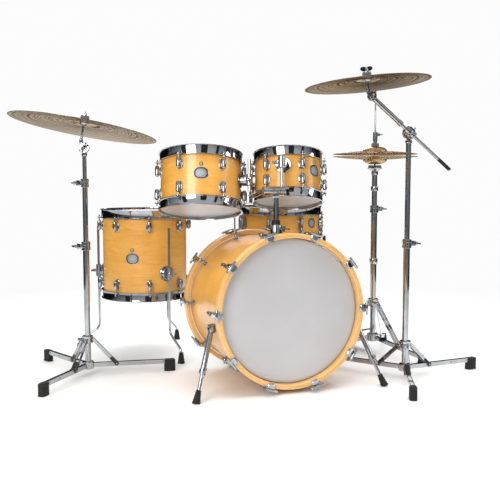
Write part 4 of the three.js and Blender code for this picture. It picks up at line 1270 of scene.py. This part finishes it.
def leaned(right, back):
    """The upright leaned by degrees to the right and back."""
    return UP + ASIDE * math.tan(math.radians(right)) + AWAY * math.tan(math.radians(back))


RIDE_TILT = frame_at(ride_place, UP * RIDE_PIVOT, leaned(9.3, 5.5), AWAY)
cymbal_holder("ride", RIDE_TILT, RIDE_RATCHET, "ride_tilter")

# ---------------------------------------------------------------- crash boom
# A boom arm slides through a ratchet clamp on top of its stand. Its upper end is a thicker sleeve
# and its lower end has a knurled grip.
BOOM_TOP, BOOM_TAIL = Vector((342, 105, 1057)), Vector((622, 9, 786))
CRASH_PIVOT, CRASH_RATCHET = 922.0, 24.0
crash_place = KIT @ Matrix.Translation(CRASH_SPOT)
crash_upper = bmesh.new()
pipe(crash_upper, crash_place, *MIDDLE, 360, 894)
revolve(crash_upper, crash_place, [(0, 884), (11.4, 884), (12, 885), (12, 893), (10, 896), (0, 896)], 40)
fixed_ratchet(crash_upper, crash_place, CRASH_PIVOT, CRASH_RATCHET, 6, 890)
fitting("crash_upper_steel", crash_upper, polished_chrome, "crash_upper", "crash_upper_tube")

along = (BOOM_TAIL - BOOM_TOP).normalized()
half_boom = (BOOM_TAIL - BOOM_TOP).length / 2
pivot = Vector(CRASH_SPOT) + UP * CRASH_PIVOT - AWAY * 24
clamp_mesh = bmesh.new()
clamp_axis = UP * CRASH_PIVOT
ratchet_plate(clamp_mesh, crash_place, clamp_axis - AWAY * 1.2, clamp_axis - AWAY * 9, CRASH_RATCHET)
bush(clamp_mesh, crash_place, clamp_axis - AWAY * 8, clamp_axis - AWAY * 15, 17, 2, 40)
clamp_flat = frame_at(KIT, pivot, along, AWAY)
revolve(
    clamp_mesh, clamp_flat,
    [
        (6.5, -22), (12.6, -22), (14, -20.4), (14, -8), (13, -7), (13, 7), (14, 8), (14, 20.4), (12.6, 22),
        (6.5, 22),
    ],
    44,
)
wing_screw(clamp_mesh, frame_at(clamp_flat, (0, -13, 0), (0, -1, 0), (0, 0, 1)), 18, 4)
fitting("boom_clamp_casting", clamp_mesh, cast_chrome, "boom_clamp", "boom_clamp")

boom_start, boom_end = pivot + along * (6 - half_boom), pivot + along * (half_boom + 4)
boom = bmesh.new()
bush(boom, KIT, boom_start, boom_end, 6, 1.5, 32)
bush(boom, KIT, boom_start, pivot - along * 44, 9.5, 1.2, 36)
bush(boom, KIT, pivot - along * 58, pivot - along * 42, 11, 1.4, 36)
bush(boom, KIT, boom_start - AWAY * 9.5, boom_start - AWAY * 3, 17, 1.4, 40)
bush(boom, KIT, boom_start - AWAY * 4, boom_start + AWAY * 10, 12, 2, 40)
fitting("boom_arm_steel", boom, polished_chrome, "boom", "boom_arm")
grip = bmesh.new()
for k in range(26):
    spot = pivot + along * (half_boom - 56 + 2.1 * k)
    bush(grip, KIT, spot, spot + along * 1.7, 6.9, 0.6, 28)
bush(grip, KIT, pivot + along * (half_boom - 57), pivot + along * (half_boom - 1), 6.5, 0.3, 28)
fitting("boom_grip", grip, black_nylon, "boom")
CRASH_TILT = frame_at(KIT, boom_start - AWAY * 9.5, leaned(-5, 1.7), AWAY)
cymbal_holder("crash", CRASH_TILT, 17.0, "crash_tilter")

# ---------------------------------------------------------------- cymbals
# Cast B20 bronze, hammered in shallow dimples and lathed on both faces. The lathe leaves fine
# rings one or two millimetres apart, in broader bands of lighter and darker metal.
CYMBAL_HOLE, CYMBAL_THICK = 6.5, 1.5


def lathed_bronze(name, pale, middle, dark, ring_pitch):
    """Bronze whose tone and gloss change with the distance from the middle, from its UV map in metres."""
    material, tree, shader = finish(name, Metallic=1.0, Roughness=0.3, Anisotropic=0.55)
    uv = add(tree, "ShaderNodeUVMap", uv_map="UVMap").outputs["UV"]
    out = add(tree, "ShaderNodeSeparateXYZ", {"Vector": uv}).outputs["Y"]
    bands = add(
        tree, "ShaderNodeTexNoise", {"W": out, "Scale": 95.0, "Detail": 3.0, "Roughness": 0.65},
        noise_dimensions="1D",
    )
    rings = add(
        tree, "ShaderNodeTexNoise", {"W": out, "Scale": 1 / ring_pitch, "Detail": 2.0},
        noise_dimensions="1D",
    )
    place = add(tree, "ShaderNodeTexCoord").outputs["Object"]
    age = add(tree, "ShaderNodeTexNoise", {"Vector": place, "Scale": 9.0, "Detail": 4.0})
    tone = add(tree, "ShaderNodeMix", {0: 0.35, 2: bands.outputs["Fac"], 3: age.outputs["Fac"]})
    fine = add(tree, "ShaderNodeMix", {0: 0.25, 2: tone.outputs[0], 3: rings.outputs["Fac"]})
    tree.links.new(
        ramp(tree, fine.outputs[0], (0.3, dark), (0.5, middle), (0.7, pale)), shader.inputs["Base Color"],
    )
    gloss = add(
        tree, "ShaderNodeMapRange",
        {"Value": bands.outputs["Fac"], "From Min": 0.3, "From Max": 0.7, "To Min": 0.2, "To Max": 0.4},
    )
    tree.links.new(gloss.outputs[0], shader.inputs["Roughness"])
    groove = add(
        tree, "ShaderNodeBump", {"Height": rings.outputs["Fac"], "Strength": 0.16, "Distance": 0.0002},
    )
    dimples = add(tree, "ShaderNodeTexVoronoi", {"Vector": place, "Scale": 38.0}, feature="SMOOTH_F1")
    hammer = add(
        tree, "ShaderNodeBump",
        {
            "Height": dimples.outputs["Distance"], "Strength": 0.07, "Distance": 0.001,
            "Normal": groove.outputs[0],
        },
    )
    tree.links.new(hammer.outputs[0], shader.inputs["Normal"])
    tangent = add(tree, "ShaderNodeTangent", direction_type="UV_MAP", uv_map="UVMap")
    tree.links.new(tangent.outputs[0], shader.inputs["Tangent"])
    return material


def cymbal(bm, place, radius, bow, bell, bell_rise):
    """Adds a cymbal with its edge at z = 0: a shallow curved bow, a domed bell and a hole."""
    top = []
    for k in range(15):
        t = k / 14
        r = bell + 3 + (radius - bell - 3) * t
        top.append((r, bow * (1 - t ** 1.55)))
    bell_curve = [(CYMBAL_HOLE, bow + bell_rise), (bell * 0.26, bow + bell_rise * 0.985)]
    for k in range(1, 9):
        a = math.radians(90 * k / 8)
        bell_curve.append(
            (bell * (0.26 + 0.72 * math.sin(a)), bow + 0.3 + bell_rise * (0.02 + 0.95 * math.cos(a)))
        )
    upper = bell_curve + top
    lower = [(r, z - CYMBAL_THICK) for r, z in upper]
    edge = [(radius + 0.25, -0.5), (radius + 0.1, -1.1)]
    revolve(bm, place, upper + edge + list(reversed(lower)), 160)


aged_bronze = lathed_bronze("lathed_b20_bronze", "#bca98c", "#af9c7e", "#a08c6f", 0.0016)
bright_bronze = lathed_bronze("lathed_b20_bronze_hats", "#c9a878", "#bb9867", "#a98557", 0.0014)
HATS_Z, HATS_OPEN = 845.0, 12.0  # height of the lower edge, and the gap between the hats
hihat_place = KIT @ Matrix.Translation((578, 507, 0))
HAT_BOW, HAT_BELL_RISE = 11, 20
hat_sizes = (178, HAT_BOW, 52, HAT_BELL_RISE)
upside_down = Matrix.Rotation(math.pi, 4, "X")
# name, frame of the edge, (radius, rise of the bow, radius and rise of the bell), body, bronze
for name, place, sizes, body, bronze in (
    (
        "ride_cymbal", RIDE_TILT @ Matrix.Translation((SEAT_ASIDE, PLATE_GAP, SEAT_RISE["ride"] - 16 - 18)),
        (277, 16, 62, 18), "ride_cymbal", aged_bronze,
    ),
    (
        "crash_cymbal",
        CRASH_TILT @ Matrix.Translation((SEAT_ASIDE, PLATE_GAP, SEAT_RISE["crash"] - 13 - 17)),
        (229, 13, 52, 17), "crash_cymbal", aged_bronze,
    ),
    (
        "hihat_top_cymbal", hihat_place @ Matrix.Translation((0, 0, HATS_Z + HATS_OPEN)), hat_sizes,
        "hihat_pull", bright_bronze,
    ),
    (
        "hihat_bottom_cymbal", hihat_place @ Matrix.Translation((0, 0, HATS_Z)) @ upside_down, hat_sizes,
        "hihat_upper", bright_bronze,
    ),
):
    bronze_mesh = bmesh.new()
    cymbal(bronze_mesh, place, *sizes)
    piece(name + "_bronze", bronze_mesh, bronze, body, "cymbal_bronze", name, sharp=50)

# ---------------------------------------------------------------- hi-hat stand
# A tripod stand whose pull rod carries the top cymbal in a clutch. The bottom cymbal rests on a
# felt in a cup, and a ribbed footboard on a heel plate works the rod. The chain isn't drawn.
HEADING = 110.6  # degrees from +X to where the footboard points
HAT_TUBE = 12.7
hats = bmesh.new()
hats_rubber, hats_nylon = bmesh.new(), bmesh.new()
pipe(hats, hihat_place, HAT_TUBE, 11.5, 58, 623)
revolve(
    hats, hihat_place,
    [
        (11.6, 204), (22, 204), (24, 206), (24, 216), (22.6, 217), (22.6, 223), (24, 224), (24, 233),
        (21, 236), (11.6, 236),
    ],
    48,
)
revolve(hats, hihat_place, [(11.6, 52), (23, 52), (25, 54), (25, 80), (22, 84), (11.6, 84)], 48)
revolve(hats, hihat_place, [(12.6, 386), (16, 387), (17, 389), (17, 409), (16, 411), (12.6, 412)], 44)
ring_clamp(hats, hihat_place, 623.0, HAT_TUBE, 1)
wing_screw(hats, frame_at(hihat_place, polar(22, 250, 220), polar(1, 250), UP), 15, 3)
for turn in (60, 180, 300):
    turned = hihat_place @ Matrix.Rotation(math.radians(HEADING + turn), 4, "Z")
    for y in (-6.2, 6.2):
        strip(hats, turned, (22, y, 67), (262, y, 24), 15, 2.2)
    for y in (-9, 9):
        strip(hats, turned, (20, y, 220), (150, y, 46), 12, 2.0)
    for x, z, wide in ((150, 45, 13), (20, 220, 12), (24, 66, 11)):
        bush(hats, turned, (x, -wide, z), (x, wide, z), 3.6, 1.2, 20)
    bush(hats_nylon, turned, (150, -8.2, 45), (150, 8.2, 45), 8.6, 1, 28)
    ribbed_foot(hats_rubber, turned @ Matrix.Translation((265, 0, 0)), 11, 15, 34, 4)
across = polar(1, HEADING + 90)
for side in (-1, 1):
    toe = polar(6, HEADING, 62) + across * side * 24
    heel = polar(285, HEADING, 10) + across * side * 48
    sweep(hats, hihat_place, [toe, heel], 4, 16)
heel_place = hihat_place @ Matrix.Rotation(math.radians(HEADING), 4, "Z")
block(hats, heel_place, (262, -46, 0.6), (320, 46, 14), 3)
fitting("hihat_base_steel", hats, polished_chrome, "kit", "hihat_base")
fitting("hihat_base_feet", hats_rubber, black_rubber, "kit")
fitting("hihat_base_sleeves", hats_nylon, black_nylon, "kit")

hat_tube = bmesh.new()
pipe(hat_tube, hihat_place, 11, 9.8, 483, 778)
revolve(
    hat_tube, hihat_place,
    [
        (4.8, 766), (13, 768), (14, 770), (14, 784), (20, 790), (30, 796), (30.5, 798), (29, 799.5),
        (5, 799.5),
    ],
    48,
)
revolve(
    hat_tube, hihat_place, [(11, 700), (14.4, 700), (15.4, 702), (15.4, 718), (14.4, 720), (11, 720)], 40,
)
fitting("hihat_tube_steel", hat_tube, polished_chrome, "hihat_upper", "hihat_tube")
seat_felt = bmesh.new()
revolve(
    seat_felt, hihat_place, [(5, 799.6), (26, 799.6), (28, 801.4), (28, 807.6), (26, 809.4), (5, 809.4)],
    44,
)
fitting("hihat_seat_felt", seat_felt, grey_felt, "hihat_upper")

crown = HATS_Z + HATS_OPEN + HAT_BOW + HAT_BELL_RISE
pull = bmesh.new()
revolve(
    pull, hihat_place,
    [(0, 112), (7, 112), (8, 113), (8, 139), (7, 140), (3.2, 141), (3.2, 1126), (2.4, 1128), (0, 1128)], 24,
)
revolve(
    pull, hihat_place,
    [
        (3.2, crown + 12.5), (15, crown + 12.5), (15, crown + 14.4), (8, crown + 15), (8, crown + 22),
        (9.4, crown + 23), (9.4, crown + 60), (8, crown + 62), (3.2, crown + 62),
    ],
    40,
)
wing_screw(pull, frame_at(hihat_place, (8, 0, crown + 51), (1, 0, 0), (0, 0, 1)), 15, 3)
revolve(
    pull, hihat_place,
    [(3.2, crown - 30), (8, crown - 30), (8.6, crown - 28), (8.6, crown - 16), (3.2, crown - 15)], 6,
)
fitting("hihat_rod_and_clutch", pull, polished_chrome, "hihat_pull", "hihat_rod")
clutch_felt = bmesh.new()
for low, high in ((crown + 0.8, crown + 12), (crown - 13.5, crown - 3)):
    revolve(
        clutch_felt, hihat_place,
        [(4, low), (15.6, low), (17, low + 1.8), (17, high - 1.8), (15.6, high), (4, high)], 40,
    )
fitting("hihat_clutch_felts", clutch_felt, grey_felt, "hihat_pull")


def footboard(bm, place, start, end, width, thick, ribs):
    """Adds a cast footboard between two points, with raised ribs across it and a toe stop."""
    start, end = Vector(start), Vector(end)
    along = end - start
    length = along.length
    side = along.cross(UP).normalized()
    flat = frame_at(place, start, side.cross(along), along)
    loft_place = flat @ Matrix.Rotation(-math.pi / 2, 4, "X")
    sections = [
        (2, width * 0.34, thick / 2, 0), (10, width * 0.42, thick / 2, 0),
        (length * 0.3, width * 0.4, thick / 2, 0), (length * 0.75, width / 2, thick / 2, 0),
        (length - 6, width * 0.47, thick / 2, 0), (length, width * 0.4, thick / 2, 0),
    ]
    loft(bm, loft_place, sections, 40, 4.5)
    for k in range(ribs):
        y = length * (0.16 + 0.74 * k / (ribs - 1))
        wide = width * (0.3 + 0.1 * k / ribs)
        block(bm, flat, (-wide, y - 2, thick / 2 - 0.6), (wide, y + 2, thick / 2 + 1.4), 0.6)


hat_board = bmesh.new()
footboard(hat_board, hihat_place, polar(258, HEADING, 16), polar(34, HEADING, 96), 76, 7, 12)
fitting("hihat_footboard_casting", hat_board, cast_chrome, "hihat_pedal", "hihat_footboard")

# ---------------------------------------------------------------- snare stand
# A tripod with a basket of three arms that grip the snare drum's bottom hoop in rubber tips.
snare_place = KIT @ Matrix.Translation(SNARE_SPOT)
tripod, tripod_feet = bmesh.new(), bmesh.new()
pipe(tripod, snare_place, 14.3, 11.6, 68, 330)
revolve(tripod, snare_place, [(14.2, 176), (22, 176), (24, 178), (24, 202), (21, 204), (14.2, 204)], 48)
revolve(tripod, snare_place, [(14.2, 72), (20, 72), (22, 74), (22, 94), (20, 96), (14.2, 96)], 48)
ring_clamp(tripod, snare_place, 330.0, 14.3, 1)
for degrees in (30, 150, 270):
    turned = snare_place @ Matrix.Rotation(math.radians(degrees), 4, "Z")
    for y in (-6.2, 6.2):
        strip(tripod, turned, (22, y, 190), (232, y, 24), 14, 2.2)
    strip(tripod, turned, (20, 0, 84), (130, 0, 104), 11, 4)
    for x, z in ((22, 190), (130, 104), (20, 84)):
        bush(tripod, turned, (x, -10, z), (x, 10, z), 3.6, 1.2, 20)
    ribbed_foot(tripod_feet, turned @ Matrix.Translation((240, 0, 0)), 11, 15, 34, 4)
fitting("snare_tripod_steel", tripod, polished_chrome, "kit", "snare_stand_base")
fitting("snare_tripod_feet", tripod_feet, black_rubber, "kit")
basket, tips = bmesh.new(), bmesh.new()
hoop_foot = SNARE_Z - SNARE_DEPTH / 2 - HOOP_OVER
pipe(basket, snare_place, 11.1, 9.6, 210, 410)
revolve(basket, snare_place, [(0, 396), (21, 396), (24, 399), (24, 423), (21, 426), (0, 426)], 48)
wing_screw(
    basket, snare_place @ Matrix.Rotation(math.pi, 4, "X") @ Matrix.Translation((0, 0, -398)), 1, 0.5,
)
for degrees in (90, 210, 330):
    turned = snare_place @ Matrix.Rotation(math.radians(degrees), 4, "Z")
    for y in (-5, 5):
        strip(basket, turned, (18, y, 412), (190, y, hoop_foot - 14), 13, 2.4)
    for x, z in ((18, 412), (110, 433), (188, hoop_foot - 14)):
        bush(basket, turned, (x, -8, z), (x, 8, z), 3.4, 1, 20)
    block(tips, turned, (176.5, -12, hoop_foot - 14), (206.5, 12, hoop_foot - 0.6), 3)
    block(tips, turned, (193.8, -12, hoop_foot - 14), (206.5, 12, hoop_foot + 30), 3)
fitting("snare_basket_steel", basket, polished_chrome, "snare", "snare_basket")
fitting("snare_basket_tips", tips, black_rubber, "snare")

# ---------------------------------------------------------------- bass drum pedal
# A cast pedal clamped to the rear hoop, with two posts, an axle with a sprocket, a felt beater
# and a ribbed footboard. The chain isn't drawn.
AXLE_Y, AXLE_Z, HEEL_Y = 508.0, 165.0, 760.0
BEATER_REACH, BEATER_BACK = 140.0, 42.0  # along the shaft in mm, and degrees back from upright
pedal = bmesh.new()
block(pedal, KIT, (-48, AXLE_Y - 16, 0.2), (48, HEEL_Y + 14, 6), 1.5)
block(pedal, KIT, (-40, HEEL_Y - 46, 4), (40, HEEL_Y + 14, 20), 3)
block(pedal, KIT, (-22, 459, 1), (22, AXLE_Y - 12, 31), 3)
for side in (-1, 1):
    x = side * 46
    loft(
        pedal, KIT @ Matrix.Translation((0, AXLE_Y, 0)),
        [
            (3, 6.5, 19, x), (30, 6, 13, x), (130, 5.5, 9, x), (152, 6, 12, x), (165, 6, 13, x),
            (177, 6, 8, x),
        ],
        32, 3.2,
    )
    bush(pedal, KIT, (side * 51, AXLE_Y, AXLE_Z), (side * 56, AXLE_Y, AXLE_Z), 9, 1.4, 32)
fitting("pedal_frame_casting", pedal, cast_chrome, "kit", "pedal_frame")
pedal_board = bmesh.new()
footboard(pedal_board, KIT, (0, HEEL_Y - 50, 24), (0, AXLE_Y + 14, 92), 74, 7, 11)
fitting("pedal_footboard_casting", pedal_board, cast_chrome, "pedal_board", "pedal_footboard")
beater, beater_felt = bmesh.new(), bmesh.new()
shaft = Vector((0, math.sin(math.radians(BEATER_BACK)), math.cos(math.radians(BEATER_BACK))))
axle, aside = Vector((0, AXLE_Y, AXLE_Z)), Vector((1, 0, 0))
bush(beater, KIT, axle - aside * 60, axle + aside * 60, 6, 1, 24)
ratchet_plate(beater, KIT, axle - aside * 12, axle + aside * 12, 16, 14)
sweep(beater, KIT, [axle - shaft * 22, axle + shaft * BEATER_REACH], 3.4, 20)
fitting("pedal_beater_steel", beater, polished_chrome, "beater", "pedal_beater")
blow = Vector((0, -shaft.z, shaft.y))
head_place = frame_at(KIT, axle + shaft * BEATER_REACH, blow, (1, 0, 0))
revolve(
    beater_felt, head_place,
    [(0, -24), (16, -24), (22, -20), (24, -12), (24, 16), (22, 24), (16, 28), (0, 30)], 44,
)
fitting("pedal_beater_felt", beater_felt, grey_felt, "beater")

# ---------------------------------------------------------------- floor and light A white
# floor that fades into the paper behind it, and four soft lights.
floor_material, floor_tree, floor_shader = finish(
    "white_floor", Roughness=0.55, Base_Color=linear("#f4f4f3"),
)
PAPER = linear("#fcfcfc")
floor_place = add(floor_tree, "ShaderNodeTexCoord").outputs["Object"]
floor_reach = add(floor_tree, "ShaderNodeVectorMath", {0: floor_place}, operation="LENGTH").outputs["Value"]
floor_fade = add(
    floor_tree, "ShaderNodeMapRange", {"Value": floor_reach, "From Min": 1.1, "From Max": 2.6},
    interpolation_type="SMOOTHSTEP",
)
floor_paper = add(floor_tree, "ShaderNodeEmission", {"Color": PAPER, "Strength": 1.0})
floor_mix = add(
    floor_tree, "ShaderNodeMixShader",
    {0: floor_fade.outputs[0], 1: floor_shader.outputs[0], 2: floor_paper.outputs[0]},
)
floor_tree.links.new(floor_mix.outputs[0], floor_tree.nodes["Material Output"].inputs["Surface"])
bpy.ops.mesh.primitive_circle_add(vertices=96, radius=3.0, fill_type="NGON", location=(0, 0, -0.0005))
floor = bpy.context.object
floor.name = "floor"
floor.data.materials.append(floor_material)

world = bpy.data.worlds.new("pale_surround")
world.use_nodes = True
bpy.context.scene.world = world
sky = world.node_tree
sky_way = add(sky, "ShaderNodeTexCoord").outputs["Generated"]
sky_height = add(
    sky, "ShaderNodeVectorMath", {0: sky_way, 1: (-0.12, -0.42, 0.9)}, operation="DOT_PRODUCT",
).outputs["Value"]
sky_tone = ramp(sky, sky_height, (-0.45, "#17181a"), (0.05, "#55585c"), (0.3, "#a4a7ab"), (0.75, "#f6f8fa"))
sky.links.new(sky_tone, sky.nodes["Background"].inputs["Color"])
sky.nodes["Background"].inputs["Strength"].default_value = 0.85

backdrop_paper = bpy.data.materials.new("white_backdrop")
backdrop_paper.use_nodes = True
backdrop_tree = backdrop_paper.node_tree
backdrop_tree.nodes.remove(backdrop_tree.nodes["Principled BSDF"])
paper_light = add(backdrop_tree, "ShaderNodeEmission", {"Color": PAPER, "Strength": 1.0})
backdrop_tree.links.new(paper_light.outputs[0], backdrop_tree.nodes["Material Output"].inputs["Surface"])
bpy.ops.mesh.primitive_uv_sphere_add(segments=48, ring_count=24, radius=15.5)
backdrop = bpy.context.object
backdrop.name = "backdrop"
backdrop.data.materials.append(backdrop_paper)
for rays in ("diffuse", "glossy", "shadow", "transmission"):
    setattr(backdrop, "visible_" + rays, False)

for name, spot, size, power in (
    ("top_light", (0.2, 0.0, 4.6), 4.4, 235), ("key_light", (-3.2, -3.2, 2.2), 2.0, 105),
    ("side_light", (3.6, -1.6, 2.0), 1.0, 20), ("back_light", (1.2, 4.6, 3.6), 3.0, 100),
):
    light = bpy.data.lights.new(name, "AREA")
    light.shape, light.size, light.energy = "SQUARE", size, power
    lamp = bpy.data.objects.new(name, light)
    bpy.context.scene.collection.objects.link(lamp)
    lamp.location = spot
    lamp.rotation_euler = (Vector((0, 0, 0.5)) - Vector(spot)).to_track_quat("-Z", "Y").to_euler()
    lamp.visible_glossy = name != "top_light"

dark_screen = finish("dark_screen", Roughness=0.9, Base_Color=linear("#34363a"))[0]
for degrees, width in ((205, 1.1), (262, 1.5), (300, 0.7), (335, 1.4)):
    bpy.ops.mesh.primitive_plane_add(size=1)
    screen = bpy.context.object
    screen.name = f"screen_{degrees}"
    screen.scale = (width, 4.2, 1)
    screen.location = polar(4.6, degrees, 2.12)
    screen.rotation_euler = (math.pi / 2, 0, math.radians(degrees + 90))
    screen.data.materials.append(dark_screen)
    screen.visible_camera = screen.visible_diffuse = screen.visible_shadow = False
bpy.context.scene.view_settings.view_transform = "Standard"
